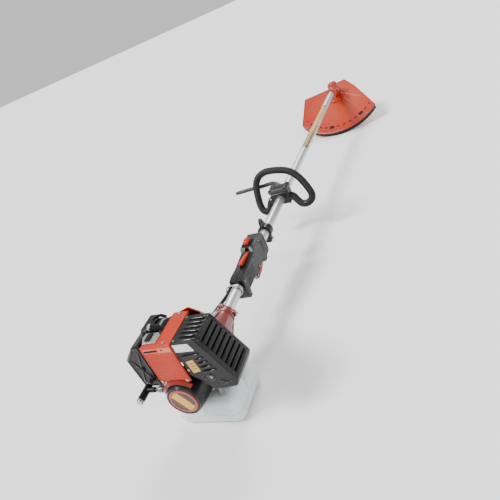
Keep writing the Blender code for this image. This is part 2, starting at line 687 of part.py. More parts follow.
# ---- sling clamp and loop handle ---------------------------------------------------
def make_sling_clamp():
    rear, front = 0.302, 0.324
    bore = TUBE_RADIUS + GAP
    clamp = ring("sling_clamp", "black_plastic", 0.0205, bore, rear, front, steps=28)
    ear = slab("sling_ear", None, arc((0.306, 0.036), 0.010, 0, 180, 8)
               + [(0.292, 0.024), (0.300, 0.0165), (0.326, 0.0165)], -0.003, 0.003, SIDE_VIEW)
    eye = rod("sling_eye", None, 0.005, (-0.02, 0.306, 0.035), (0.02, 0.306, 0.035), 16)
    foot = box("sling_foot", None, (-0.007, rear + 0.001, -0.036), (0.007, front - 0.001,
                                                                   -0.0165))
    unite(clamp, ear, foot)
    cut(clamp, eye)


def loop_point(across, up):
    """A point in the loop's own plane, measured from the tube's axis."""
    return Vector((across, LOOP_STATION + up * math.sin(LOOP_TILT), up * math.cos(LOOP_TILT)))


def make_loop_handle():
    half_length, bore = 0.020, TUBE_RADIUS + GAP
    half_width = 0.031
    rear, front = LOOP_STATION - half_length, LOOP_STATION + half_length
    base = box("bracket_base", "black_plastic", (-half_width, rear, -0.021),
               (half_width, front, 0.0225), 0.003)
    tube_bore = rod("bracket_bore", None, bore, (0, rear - 0.01, 0), (0, front + 0.01, 0), 28)
    cut(base, tube_bore)
    box("bracket_cover", "grey_plastic", (-0.034, rear, 0.0225 + GAP), (0.034, front, 0.037),
        0.0025)
    route = [(half_width + GAP, -0.006), (0.039, -0.006), (0.049, -0.020), (0.063, -0.036),
             (0.082, -0.039), (0.098, -0.029), (0.101, -0.014), (0.095, 0.004),
             (0.0845, 0.024), (0.071, 0.045), (0.055, 0.063), (0.036, 0.076), (0.014, 0.084),
             (-0.015, 0.090), (-0.045, 0.091), (-0.067, 0.082), (-0.080, 0.066),
             (-0.0845, 0.045), (-0.085, 0.018), (-0.0825, -0.010), (-0.076, -0.028),
             (-0.065, -0.037), (-0.053, -0.034), (-0.046, -0.020), (-0.039, -0.006),
             (-half_width - GAP, -0.006)]
    pipe("loop_handle", "rubber", [loop_point(*place) for place in route], LOOP_GRIP_RADIUS, 2)
    bar = [(-0.014, front + GAP, 0.0298), (-0.014, front + 0.005, 0.0298),
           (-0.014, front + 0.010, 0.0298), (-0.024, 0.561, 0.0325), (-0.038, 0.566, 0.0340),
           (-0.076, 0.566, 0.0320), (-0.111, 0.566, 0.0320), (-0.175, 0.566, 0.0300)]
    pipe("barrier_bar", "grey_plastic", bar, 0.0065, 2, smooth=2)


# ---- gear head and guard --------------------------------------------------------------
def on_output(across, back, down):
    """A point given from the output axis: to the right, rearward and down it."""
    return (Vector((across, OUTPUT_STATION, 0)) + GUARD_BACK * back + OUTPUT_DOWN * down)


# Local X, Y, Z become right, the guard's rearward direction and down the output axis.
OUTPUT_TURN = Matrix((Vector((1, 0, 0)), GUARD_BACK, OUTPUT_DOWN)).transposed().to_euler()
GEAR_TURN = Matrix((Vector((1, 0, 0)), -GUARD_BACK, -OUTPUT_DOWN)).transposed().to_euler()
APEX = Vector((0, OUTPUT_STATION, 0))


def bevel_gear(name, finish, teeth, cone_angle, turn, tooth_first, shank_radius, shank):
    """A straight bevel gear whose teeth taper to the local origin. The gear lies
    along +Z, and the shank of (start, end) heights continues behind it."""
    module = 2 * CONE_LENGTH * math.sin(cone_angle) / teeth
    depth = CONE_LENGTH * math.cos(cone_angle)
    pitch_radius = CONE_LENGTH * math.sin(cone_angle)
    tip = pitch_radius + 0.6 * module * math.cos(cone_angle)
    root = pitch_radius - 1.05 * module * math.cos(cone_angle)
    shrink = (CONE_LENGTH - TOOTH_LENGTH) / CONE_LENGTH
    step = math.tau / teeth
    shape = [(-0.25, root), (-0.10, tip), (0.10, tip), (0.25, root)]

    def build(bm):
        rings = []
        for scale in (1.0, shrink):
            points = []
            for tooth in range(teeth):
                for share, radius in shape:
                    angle = tooth_first + (tooth + share) * step
                    points.append(bm.verts.new((radius * scale * math.cos(angle),
                                                radius * scale * math.sin(angle),
                                                depth * scale)))
            rings.append(points)
        outer, inner = rings
        count = len(outer)
        for index in range(count):
            following = (index + 1) % count
            bm.faces.new((outer[index], inner[index], inner[following], outer[following]))
        bm.faces.new(inner[::-1])
        bm.faces.new(outer)
        bmesh.ops.recalc_face_normals(bm, faces=bm.faces)

    gear = add_piece(name, mesh_from(name, build), finish, APEX, turn)
    tail = turned(name + "_shank", None,
                  [(0, shank[1]), (shank_radius, shank[1]), (shank_radius, shank[0]),
                   (0, shank[0])], APEX, turn, 16)
    return unite(gear, tail)


def make_gears():
    ratio = GEAR_TEETH / PINION_TEETH
    shaft_angle = QUARTER - OUTPUT_TILT
    pinion_cone = math.atan2(math.sin(shaft_angle), ratio + math.cos(shaft_angle))
    gear_cone = shaft_angle - pinion_cone
    shaft_radius = 0.005
    pinion_turn = (QUARTER, 0, 0)
    bevel_gear("drive_pinion", "steel", PINION_TEETH, pinion_cone, pinion_turn,
               QUARTER, shaft_radius, (0.018, 0.056))
    half_tooth = math.pi / GEAR_TEETH
    gear = bevel_gear("bevel_gear", "steel", GEAR_TEETH, gear_cone, GEAR_TURN,
                      half_tooth - QUARTER, 0.0110, (0.0190, 0.0225))
    bore = rod("bevel_gear_bore", None, shaft_radius + GAP, on_output(0, 0, -0.03),
               on_output(0, 0, 0.01), 16)
    cut(gear, bore)
    rod("output_shaft", "steel", shaft_radius, on_output(0, 0, -0.024),
        on_output(0, 0, 0.073), 16)
    ring("pinion_bearing", "steel", 0.013, shaft_radius + GAP, 1.5545, 1.5655)
    ring("output_bearing", "steel", 0.014, shaft_radius + GAP, 0.021, 0.032,
         APEX, OUTPUT_TURN)


def make_gear_case():
    case = turned("gear_case", "orange_paint",
                  [(0, 1.592), (0.021, 1.590), (0.021, 1.575), (0.0205, 1.518), (0, 1.518)])
    barrel = turned("gear_barrel", None,
                    [(0, 0.036), (0.022, 0.036), (0.0255, 0.022), (0.024, -0.027),
                     (0.019, -0.031), (0, -0.031)], APEX, OUTPUT_TURN)
    socket = rod("gear_socket", None, TUBE_RADIUS + GAP, (0, 1.51, 0), (0, 1.5525, 0), 28)
    pinion_room = rod("pinion_room", None, 0.013 + GAP, (0, 1.552, 0), (0, 1.590, 0), 24)
    gear_room = turned("gear_room", None,
                       [(0, 0.040), (0.014 + GAP, 0.040), (0.014 + GAP, 0.0205),
                        (0.0185, 0.0205), (0.0185, -0.0265), (0, -0.0265)], APEX, OUTPUT_TURN)
    unite(case, barrel)
    cut(case, socket, pinion_room, gear_room)


def make_cutter_mount():
    """Blade flange with its 25 mm pilot, the outer washer and the nut."""
    bore, pilot = 0.005 + GAP, 0.0125
    turned("blade_flange", "steel",
           [(bore, 0.0565), (pilot, 0.0565), (pilot, 0.0545), (0.0195, 0.0545),
            (0.0195, 0.0505), (0.014, 0.0465), (bore, 0.0465)], APEX, OUTPUT_TURN)
    turned("outer_washer", "steel",
           [(bore, 0.0628), (0.011, 0.0628), (0.0190, 0.0600), (0.0190, 0.0568),
            (bore, 0.0568)], APEX, OUTPUT_TURN)
    hexagon = 6
    ring("output_nut", "steel", 0.0095, bore / math.cos(math.pi / hexagon), 0.0631, 0.0715,
         APEX, OUTPUT_TURN, hexagon)


def guard_outline():
    """Guard plate seen along the output axis: x to the right, y rearward."""
    rim = arc(GUARD_ARC_CENTRE, GUARD_ARC_RADIUS, 33, 147, 18)
    front = [(-0.173, -0.031), (-0.052, -0.046), (-0.022, -0.066), (0.008, -0.076),
             (0.040, GUARD_NOSE), (0.090, -0.022)]
    return rim + front


def make_guard():
    drop = GUARD_DROP
    plate = slab("guard_plate", "orange_plastic", guard_outline(), drop, drop + GUARD_THICK,
                 OUTPUT_TURN, APEX)
    opening = rod("guard_opening", None, 0.017, on_output(0, 0, drop - 0.01),
                  on_output(0, 0, drop + 0.01), 24)
    cut(plate, opening)
    outer = arc(GUARD_ARC_CENTRE, GUARD_ARC_RADIUS, 34, 146, 18)
    inner = arc(GUARD_ARC_CENTRE, GUARD_ARC_RADIUS - 0.003, 146, 34, 18)
    slab("guard_skirt", "rubber", outer + inner, drop + GUARD_THICK + GAP, SKIRT_FOOT,
         OUTPUT_TURN, APEX)
    clamp_outline = (arc((0, 0), 0.033, 180, 360, 14)
                     + [(0.033, 0.040), (0.020, 0.052), (-0.020, 0.052), (-0.033, 0.040)])
    clamp = slab("guard_clamp", "orange_plastic", clamp_outline, 0.0363, drop - GAP, OUTPUT_TURN,
                 APEX)
    clamp_bore = rod("guard_clamp_bore", None, 0.0155, on_output(0, 0, 0.030),
                     on_output(0, 0, 0.050), 24)
    cut(clamp, clamp_bore)


make_crankcase()
make_crankshaft()
make_cylinder()
make_spark_plug()
make_flywheel()
make_clutch()
make_clutch_housing()
make_fan_housing()
make_ignition_coil()
make_starter()
make_starter_handle()
make_cylinder_cover()
make_muffler_cover()
make_intake()
make_choke_lever()
make_tank()
make_shaft()
make_cable()
make_grip()
make_grip_controls()
make_sling_clamp()
make_loop_handle()
make_gears()
make_gear_case()
make_cutter_mount()
make_guard()
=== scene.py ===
# Petrol brush cutter with a loop handle: looks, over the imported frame
import json
import math

import bmesh
import bpy
from mathutils import Matrix, Vector


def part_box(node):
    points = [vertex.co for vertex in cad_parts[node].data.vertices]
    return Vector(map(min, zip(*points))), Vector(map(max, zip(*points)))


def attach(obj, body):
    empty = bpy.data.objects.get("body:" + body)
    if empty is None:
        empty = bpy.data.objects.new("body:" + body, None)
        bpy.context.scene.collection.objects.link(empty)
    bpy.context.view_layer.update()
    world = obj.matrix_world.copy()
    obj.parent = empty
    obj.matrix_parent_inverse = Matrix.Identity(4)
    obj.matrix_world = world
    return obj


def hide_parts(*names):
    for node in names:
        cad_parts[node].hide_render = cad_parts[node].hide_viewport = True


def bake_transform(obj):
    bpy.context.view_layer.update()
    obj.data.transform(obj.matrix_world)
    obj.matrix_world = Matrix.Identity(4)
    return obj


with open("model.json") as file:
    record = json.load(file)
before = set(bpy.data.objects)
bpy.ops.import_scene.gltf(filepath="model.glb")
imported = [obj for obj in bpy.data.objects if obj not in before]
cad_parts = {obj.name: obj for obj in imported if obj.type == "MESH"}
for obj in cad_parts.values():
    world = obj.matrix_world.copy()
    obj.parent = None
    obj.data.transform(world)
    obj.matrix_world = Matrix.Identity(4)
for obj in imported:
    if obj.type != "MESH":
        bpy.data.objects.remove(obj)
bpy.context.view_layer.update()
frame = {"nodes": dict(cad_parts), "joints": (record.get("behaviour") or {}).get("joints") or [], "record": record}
joints = {joint["name"]: joint for joint in frame["joints"]}
bodyOf = {node: body for body, members in frame["record"]["behaviour"]["bodies"].items()
          for node in members}
slotOf = {part["node"]: part["material_slot"] for part in frame["record"]["subparts"]}

# Places are given in the shaft's own frame: x to the right, y forward, z up from the shaft's axis
layout = {"outputStation": 1.600, "outputTilt": math.radians(30), "starterFace": -0.319,
          "tubeRadius": 0.014}
outputCross = Vector(joints["output_spin"]["pos_m"])
shaftZero = outputCross - Vector((0, layout["outputStation"], 0))
toWorld = Matrix.Translation(shaftZero)
upward = Vector((0, 0, 1))


def at(x, y, z):
    return shaftZero + Vector((x, y, z))


def nodeBox(node):
    low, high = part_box(node)
    return low - shaftZero, high - shaftZero


print("frame loaded:", len(frame["nodes"]), "pieces")


# Shader maths as plain expressions
class Wire:
    # a socket that takes part in sums; a Wire without a socket only adds nodes
    def __init__(self, tree, socket=None):
        self.tree = tree
        self.socket = socket

    def node(self, kind, settings=None, values=None, output=0):
        made = self.tree.nodes.new(kind)
        for name, value in (settings or {}).items():
            if name == "stops":
                ramp = made.color_ramp
                while len(ramp.elements) < len(value):
                    ramp.elements.new(0.5)
                for element, (place, shade) in zip(ramp.elements, value):
                    element.position = place
                    element.color = (*shade, 1)
            else:
                setattr(made, name, value)
        for name, value in (values or {}).items():
            if isinstance(value, Wire):
                self.tree.links.new(value.socket, made.inputs[name])
            else:
                made.inputs[name].default_value = value
        return Wire(self.tree, made.outputs[output])

    def maths(self, operation, *terms):
        return self.node("ShaderNodeMath", {"operation": operation}, dict(enumerate(terms)))

    def clamped(self, low, high):
        return self.node("ShaderNodeMapRange", {"clamp": True}, {0: self, 1: low, 2: high})

    def __add__(self, other):
        return self.maths("ADD", self, other)

    def __sub__(self, other):
        return self.maths("SUBTRACT", self, other)

    def __rsub__(self, other):
        return self.maths("SUBTRACT", other, self)

    def __mul__(self, other):
        return self.maths("MULTIPLY", self, other)

    def __gt__(self, other):
        return self.maths("GREATER_THAN", self, other)

    __radd__ = __add__
    __rmul__ = __mul__


def mixed(wire, factor, first, second):
    return wire.node("ShaderNodeMix", {"data_type": "RGBA"},
                     {0: factor, 6: tinted(first), 7: tinted(second)}, 2)


def tinted(colour):
    return colour if isinstance(colour, Wire) else (*colour, 1)


def noise(wire, place, scale, detail=3.0, rough=0.55):
    return wire.node("ShaderNodeTexNoise", None, {"Vector": place, "Scale": scale,
                                                  "Detail": detail, "Roughness": rough})


def newFinish(name, build, roughness=0.5, metallic=0.0, coat=0.0, ior=1.5, transmission=0.0,
              subsurface=0.0):
    # build(wire, place) returns what varies over the surface, by the shader socket's name
    material = bpy.data.materials.new(name)
    material.use_nodes = True
    tree = material.node_tree
    shader = tree.nodes["Principled BSDF"]
    fixed = {"Roughness": roughness, "Metallic": metallic, "Coat Weight": coat, "IOR": ior,
             "Coat Roughness": 0.08, "Transmission Weight": transmission,
             "Subsurface Weight": subsurface}
    for socket, value in fixed.items():
        shader.inputs[socket].default_value = value
    wire = Wire(tree)
    place = wire.node("ShaderNodeTexCoord", output=3)
    for socket, value in build(wire, place).items():
        if isinstance(value, Wire):
            tree.links.new(value.socket, shader.inputs[socket])
        else:
            shader.inputs[socket].default_value = (*value, 1)
    return material


def bumped(wire, height, strength, distance):
    return wire.node("ShaderNodeBump", None,
                     {"Strength": strength, "Distance": distance, "Height": height})


def smear(wire, place, stretch):
    # the same place, squeezed along some axes so that noise turns into brush lines
    return wire.node("ShaderNodeMapping", None, {"Vector": place, "Scale": stretch})


def moulded(name, colour, roughness=0.42, grain=1400, depth=0.00012, fade=1.35, coat=0.0):
    # spark-eroded grain, a little dust, and paler rubbed patches
    def build(wire, place):
        fine = noise(wire, place, grain, 2.0)
        broad = noise(wire, place, 26, 4.0)
        rubbed = noise(wire, place, 90, 5.0, 0.7).clamped(0.58, 0.74)
        pale = [min(1, part * fade + 0.012) for part in colour]
        tone = mixed(wire, broad.clamped(0.35, 0.7) * 0.5 + rubbed * 0.28, colour, pale)
        rough = broad * 0.22 + fine * 0.10 + (roughness - 0.16)
        return {"Base Color": tone, "Roughness": rough,
                "Normal": bumped(wire, fine + rubbed * 0.3, 0.35, depth)}
    return newFinish(name, build, roughness, coat=coat, ior=1.36)


def enamel(name, colour, deep, roughness=0.28):
    # sprayed paint: faint orange peel, darker where it pools, a few dull rubbed marks
    def build(wire, place):
        peel = noise(wire, place, 420, 2.0)
        broad = noise(wire, place, 14, 3.0)
        dull = noise(wire, place, 70, 6.0, 0.75).clamped(0.60, 0.72)
        tone = mixed(wire, broad.clamped(0.3, 0.72), deep, colour)
        return {"Base Color": tone, "Roughness": dull * 0.25 + broad * 0.12 + (roughness - 0.06),
                "Normal": bumped(wire, peel, 0.16, 0.0003)}
    return newFinish(name, build, roughness, coat=0.35)


def brushed(name, colour, stretch, roughness=0.3, depth=0.00005, shade=0.72, metallic=1.0):
    # drawn or turned metal: lines round or along it, with stained patches
    def build(wire, place):
        lines = noise(wire, smear(wire, place, stretch), 160, 4.0, 0.65)
        stain = noise(wire, place, 32, 5.0, 0.6).clamped(0.42, 0.75)
        dark = [part * shade for part in colour]
        tone = mixed(wire, stain * 0.55 + lines * 0.25, colour, dark)
        return {"Base Color": tone, "Roughness": lines * 0.22 + stain * 0.14 + (roughness - 0.12),
                "Normal": bumped(wire, lines, 0.3, depth)}
    return newFinish(name, build, roughness, metallic)


def castMetal(name, colour, roughness=0.55):
    def build(wire, place):
        sand = noise(wire, place, 900, 5.0, 0.7)
        broad = noise(wire, place, 40, 4.0)
        dark = [part * 0.55 for part in colour]
        return {"Base Color": mixed(wire, broad.clamped(0.3, 0.75), colour, dark),
                "Roughness": sand * 0.2 + (roughness - 0.08),
                "Normal": bumped(wire, sand, 0.6, 0.0004)}
    return newFinish(name, build, roughness, 0.9)


def milky(name):
    # translucent tank: two milky tones mixed by broad noise, with faint darker flow marks
    def build(wire, place):
        broad = noise(wire, place, 11, 3.0)
        flow = noise(wire, smear(wire, place, (1, 3, 14)), 30, 4.0, 0.6)
        fine = noise(wire, place, 700, 2.0)
        tone = mixed(wire, broad.clamped(0.35, 0.7), (0.88, 0.875, 0.865), (0.74, 0.72, 0.69))
        tone = mixed(wire, flow.clamped(0.5, 0.8) * 0.25, tone, (0.62, 0.60, 0.57))
        return {"Base Color": tone, "Roughness": fine * 0.1 + broad * 0.15 + 0.22,
                "Normal": bumped(wire, flow + fine * 0.2, 0.22, 0.0008)}
    return newFinish(name, build, 0.32, coat=0.15, subsurface=0.25)


def woven(name, colour, pitch):
    # braided cord: two crossing sets of ridges
    def build(wire, place):
        left = wire.node("ShaderNodeTexWave", {"bands_direction": "DIAGONAL"},
                         {"Vector": place, "Scale": pitch, "Distortion": 0.4}, 1)
        right = wire.node("ShaderNodeTexWave", {"bands_direction": "DIAGONAL"},
                          {"Vector": smear(wire, place, (-1, 1, 1)), "Scale": pitch}, 1)
        ridges = left * right
        dark = [part * 0.55 for part in colour]
        return {"Base Color": mixed(wire, ridges, dark, colour),
                "Normal": bumped(wire, ridges, 0.8, 0.0005)}
    return newFinish(name, build, 0.85)


def foam(name, colour):
    def build(wire, place):
        cells = wire.node("ShaderNodeTexVoronoi", None, {"Vector": place, "Scale": 900})
        dark = [part * 0.35 for part in colour]
        return {"Base Color": mixed(wire, cells, dark, colour),
                "Normal": bumped(wire, cells, 1.0, 0.0008)}
    return newFinish(name, build, 0.95)


def printed(name, colour, second, roughness=0.35, scale=55):
    # a label's ink: slightly uneven, with scuffed patches
    def build(wire, place):
        scuff = noise(wire, place, 160, 6.0, 0.75).clamped(0.60, 0.75)
        broad = noise(wire, place, scale, 3.0).clamped(0.35, 0.7)
        tone = mixed(wire, broad, colour, second)
        dull = [part * 0.7 for part in second]
        return {"Base Color": mixed(wire, scuff * 0.4, tone, dull),
                "Roughness": scuff * 0.3 + (roughness - 0.05),
                "Normal": bumped(wire, scuff, 0.1, 0.0001)}
    return newFinish(name, build, roughness, coat=0.3)


finishes = {
    "orange_paint": enamel("orangeEnamel", (0.42, 0.022, 0.004), (0.34, 0.015, 0.003)),
    "dark_red_paint": enamel("darkRedEnamel", (0.22, 0.010, 0.003), (0.15, 0.006, 0.002)),
    "orange_plastic": moulded("orangeNylon", (0.44, 0.024, 0.004), 0.38, 900, 0.00008, 1.08),
    "black_plastic": moulded("blackNylon", (0.0035, 0.0035, 0.004), 0.34),
    "grey_plastic": moulded("greyNylon", (0.030, 0.030, 0.034), 0.42),
    "rubber": moulded("blackRubber", (0.0035, 0.0035, 0.0038), 0.55, 700, 0.0002, 1.6),
    "tank_plastic": milky("milkyPolyethylene"),
    "aluminium": brushed("drawnAluminium", (0.62, 0.62, 0.63), (1, 0.03, 1), 0.34, 0.00003, 0.8,
                         0.85),
    "cast_aluminium": castMetal("castAluminium", (0.30, 0.30, 0.31)),
    "steel": brushed("machinedSteel", (0.40, 0.39, 0.38), (1, 0.2, 1), 0.28),
    "dark_steel": brushed("scaledSteel", (0.10, 0.095, 0.09), (1, 1, 1), 0.5, 0.0002),
    "foam": foam("filterFoam", (0.16, 0.14, 0.05)),
    "rope_fibre": woven("braidedCord", (0.40, 0.39, 0.37), 620),
}
extras = {
    "plateSilver": brushed("platedSheet", (0.60, 0.60, 0.61), (0.1, 1, 1), 0.30, 0.00003, 0.7),
    "screwSteel": brushed("zincScrew", (0.45, 0.45, 0.44), (1, 1, 1), 0.32, 0.00004, 0.6),
    "blackShine": moulded("glossyBlackNylon", (0.003, 0.003, 0.0035), 0.17, 500, 0.00005, 1.2, 0.3),
    "pitBlack": moulded("shadedBlackNylon", (0.0012, 0.0012, 0.0014), 0.7, 600, 0.0001, 1.1),
    "badgeRed": printed("redLabelInk", (0.40, 0.035, 0.006), (0.34, 0.026, 0.005)),
    "badgeBlack": printed("blackLabelInk", (0.004, 0.004, 0.004), (0.010, 0.009, 0.008)),
    "labelYellow": printed("yellowLabelInk", (0.62, 0.38, 0.022), (0.54, 0.30, 0.015)),
    "labelTan": printed("tanLabelInk", (0.40, 0.20, 0.055), (0.32, 0.14, 0.035)),
    "labelWhite": printed("whiteLabelInk", (0.72, 0.71, 0.69), (0.60, 0.59, 0.57)),
    # painted highlight: a paler orange standing in for the lit faces along the rear panel's top
    "paintedHighlightOrange": moulded("orangeNylonPaintedHighlight", (0.60, 0.13, 0.07), 0.20, 900, 0.00006, 1.05, 0.4),
    "floorPaint": newFinish("paleFloor", lambda wire, place: {
        "Base Color": mixed(wire, noise(wire, place, 3, 3.0), (0.93, 0.93, 0.93),
                            (0.92, 0.92, 0.92))}, 0.9),
}
print("finishes ready:", len(finishes) + len(extras))


# Camera, floor and lights
view = {"place": (0.6285, -0.8985, 0.6511), "right": (0.8761, 0.2830, -0.3902),
        "up": (0.1740, 0.5692, 0.8035), "lens": 36.86}
studio = {"floorHalf": 60.0, "world": 0.75,
          "suns": (("key", (-0.62, -0.50, 1.0), 3.6, 18), ("fill", (0.75, -0.55, 0.8), 0.7, 60),
                   ("back", (-0.1, 0.9, 0.8), 1.7, 30))}


def makeCamera():
    data = bpy.data.cameras.new("camera")
    data.lens = view["lens"]
    data.sensor_width = 36
    data.clip_start = 0.05
    camera = bpy.data.objects.new("camera", data)
    bpy.context.scene.collection.objects.link(camera)
    right = Vector(view["right"]).normalized()
    up = Vector(view["up"])
    up = (up - right * up.dot(right)).normalized()
    turn = Matrix((right, up, right.cross(up))).transposed().to_4x4()
    camera.matrix_world = Matrix.Translation(at(*view["place"])) @ turn
    bpy.context.scene.camera = camera


def makeStudio():
    # the floor passes under the guard's rim and the tank's rear edge, which carry the machine
    guardLow = nodeBox("guard_skirt")[0]
    rim = Vector((0, guardLow.y, guardLow.z))
    tankLow = nodeBox("fuel_tank")[0]
    heel = Vector((0, tankLow.y + 0.010, tankLow.z))
    along = (rim - heel).normalized()
    across = Vector((1, 0, 0))
    half = studio["floorHalf"]
    bm = bmesh.new()
    corners = [bm.verts.new(toWorld @ (heel + across * x * half + along * y * half))
               for x, y in ((-1, -1), (1, -1), (1, 1), (-1, 1))]
    bm.faces.new(corners)
    mesh = bpy.data.meshes.new("floor")
    bm.to_mesh(mesh)
    bm.free()
    mesh.materials.append(extras["floorPaint"])
    floor = bpy.data.objects.new("floor", mesh)
    bpy.context.scene.collection.objects.link(floor)
    for name, source, strength, spread in studio["suns"]:
        data = bpy.data.lights.new(name, "SUN")
        data.energy = strength
        data.angle = math.radians(spread)
        lamp = bpy.data.objects.new(name, data)
        lamp.rotation_euler = Vector(source).to_track_quat("Z", "Y").to_euler()
        bpy.context.scene.collection.objects.link(lamp)
    world = bpy.data.worlds.new("studio")
    world.use_nodes = True
    world.node_tree.nodes["Background"].inputs["Color"].default_value = (1, 1, 1, 1)
    world.node_tree.nodes["Background"].inputs["Strength"].default_value = studio["world"]
    bpy.context.scene.world = world


makeCamera()
makeStudio()
print("camera and studio placed")


# Modelling tools, all in the shaft's frame
def finished(name, bm, finish, body, smooth=38, bevel=0.0, segments=2, replaces=()):
    bmesh.ops.remove_doubles(bm, verts=bm.verts, dist=0.000004)
    bmesh.ops.recalc_face_normals(bm, faces=bm.faces)
    mesh = bpy.data.meshes.new(name)
    bm.to_mesh(mesh)
    bm.free()
    mesh.transform(toWorld)
    mesh.materials.append(finish)
    mesh.shade_smooth()
    mesh.set_sharp_from_angle(angle=math.radians(smooth))
    piece = bpy.data.objects.new(name, mesh)
    bpy.context.scene.collection.objects.link(piece)
    if bevel:
        modifier = piece.modifiers.new("worn edges", "BEVEL")
        modifier.width = bevel
        modifier.segments = segments
        modifier.limit_method = "ANGLE"
        modifier.angle_limit = math.radians(34)
        modifier.harden_normals = True
    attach(piece, body)
    if replaces:
        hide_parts(*replaces)
    return piece


def dressed(node, finish=None, bevel=0.0005, smooth=38, segments=2, flatten=1.5):
    # the node's own solid with its edges eased, so that they catch the light
    bm = bmesh.new()
    bm.from_mesh(frame["nodes"][node].data)
    bmesh.ops.transform(bm, matrix=toWorld.inverted(), verts=bm.verts)
    bmesh.ops.remove_doubles(bm, verts=bm.verts, dist=0.00001)
    bmesh.ops.dissolve_limit(bm, angle_limit=math.radians(flatten), verts=bm.verts,
                             edges=bm.edges)
    return finished(f"{node}Skin", bm, finish or finishes[slotOf[node]], bodyOf[node], smooth,
                    bevel, segments, (node,))


def facing(axis, hint=upward):
    # a turn whose z points along axis and whose y leans towards hint
    z = Vector(axis).normalized()
    hint = Vector(hint)
    if abs(z.dot(hint.normalized())) > 0.98:
        hint = Vector((0, 1, 0))
    x = hint.cross(z).normalized()
    return Matrix((x, z.cross(x), z)).transposed()


def placed(centre, axis=upward, hint=upward):
    return Matrix.Translation(Vector(centre)) @ facing(axis, hint).to_4x4()


def addBlock(bm, size, frameMatrix, taper=1.0):
    # a block centred on the matrix; its top end can be narrower
    made = bmesh.ops.create_cube(bm, size=1.0)["verts"]
    for vert in made:
        narrow = taper if vert.co.z > 0 else 1.0
        vert.co = Vector((vert.co.x * size[0] * narrow, vert.co.y * size[1] * narrow,
                          vert.co.z * size[2]))
    bmesh.ops.transform(bm, matrix=frameMatrix, verts=made)


def addTurned(bm, profile, frameMatrix, steps=24, sweep=math.tau, start=0.0):
    # profile of (radius, height) swept round the matrix's z
    closed = sweep > math.tau - 0.001
    count = steps if closed else steps + 1
    rings = []
    for index in range(count):
        angle = start + sweep * index / steps
        ring = []
        for radius, height in profile:
            point = Vector((radius * math.cos(angle), radius * math.sin(angle), height))
            ring.append(bm.verts.new(frameMatrix @ point))
        rings.append(ring)
    pairs = list(zip(rings, rings[1:] + rings[:1])) if closed else list(zip(rings, rings[1:]))
    for first, second in pairs:
        for low in range(len(profile) - 1):
            corners = [first[low], second[low], second[low + 1], first[low + 1]]
            distinct = []
            for vert in corners:
                if all((vert.co - other.co).length > 1e-7 for other in distinct):
                    distinct.append(vert)
            if len(distinct) > 2:
                bm.faces.new(distinct)
    return rings


def addSlab(bm, outline, low, high, frameMatrix):
    # a flat outline in the matrix's x and y, raised from low to high along its z
    foot = [bm.verts.new(frameMatrix @ Vector((x, y, low))) for x, y in outline]
    head = [bm.verts.new(frameMatrix @ Vector((x, y, high))) for x, y in outline]
    bm.faces.new(foot[::-1])
    bm.faces.new(head)
    for index in range(len(outline)):
        after = (index + 1) % len(outline)
        bm.faces.new([foot[index], foot[after], head[after], head[index]])


def smoothLine(points, pieces=6):
    # a smooth curve through the points
    points = [Vector(point) for point in points]
    ends = [points[0] * 2 - points[1]] + points + [points[-1] * 2 - points[-2]]
    line = []
    for index in range(1, len(ends) - 2):
        a, b, c, d = ends[index - 1:index + 3]
        for step in range(pieces):
            t = step / pieces
            line.append(0.5 * (2 * b + (c - a) * t + (2 * a - 5 * b + 4 * c - d) * t * t
                               + (3 * b - a - 3 * c + d) * t * t * t))
    return line + [points[-1]]


def addTube(bm, line, radius, sides=12, closed=False, flat=1.0, capped=True):
    # a round or flattened tube; radius may be a number or a function of the share of the way
    size = radius if callable(radius) else (lambda share: radius)
    rings = []
    side = None
    count = len(line)
    for index, point in enumerate(line):
        before = line[index - 1] if closed or index else point
        after = line[(index + 1) % count] if closed or index < count - 1 else point
        ahead = (after - before).normalized()
        side = side or facing(ahead).col[0]
        side = (side - ahead * side.dot(ahead)).normalized()
        other = ahead.cross(side)
        r = size(index / (count - 1))
        rings.append([bm.verts.new(point + side * r * math.cos(a) + other * r * flat * math.sin(a))
                      for a in (math.tau * k / sides for k in range(sides))])
    pairs = list(zip(rings, rings[1:] + (rings[:1] if closed else [])))
    for first, second in pairs:
        for k in range(sides):
            bm.faces.new([first[k], first[(k + 1) % sides], second[(k + 1) % sides], second[k]])
    if capped and not closed:
        bm.faces.new(rings[0][::-1])
        bm.faces.new(rings[-1])


def addScrew(bm, place, axis, radius=0.003, height=0.0022, washer=0.0):
    # a pan head with a hexagon socket, on a washer where one is asked for
    spot = placed(place, axis)
    if washer:
        addTurned(bm, [(0, 0.0009), (washer, 0.0009), (washer, 0), (0, 0)], spot, 20)
        spot = spot @ Matrix.Translation((0, 0, 0.0009))
    socket = radius * 0.48
    addTurned(bm, [(0, height * 0.35), (socket, height * 0.35)], spot, 6)
    rim = [(socket, height * 0.35), (socket, height), (radius * 0.74, height),
           (radius * 0.95, height * 0.72), (radius, height * 0.3), (radius, -0.0006)]
    addTurned(bm, rim, spot, 24)


print("tools ready")

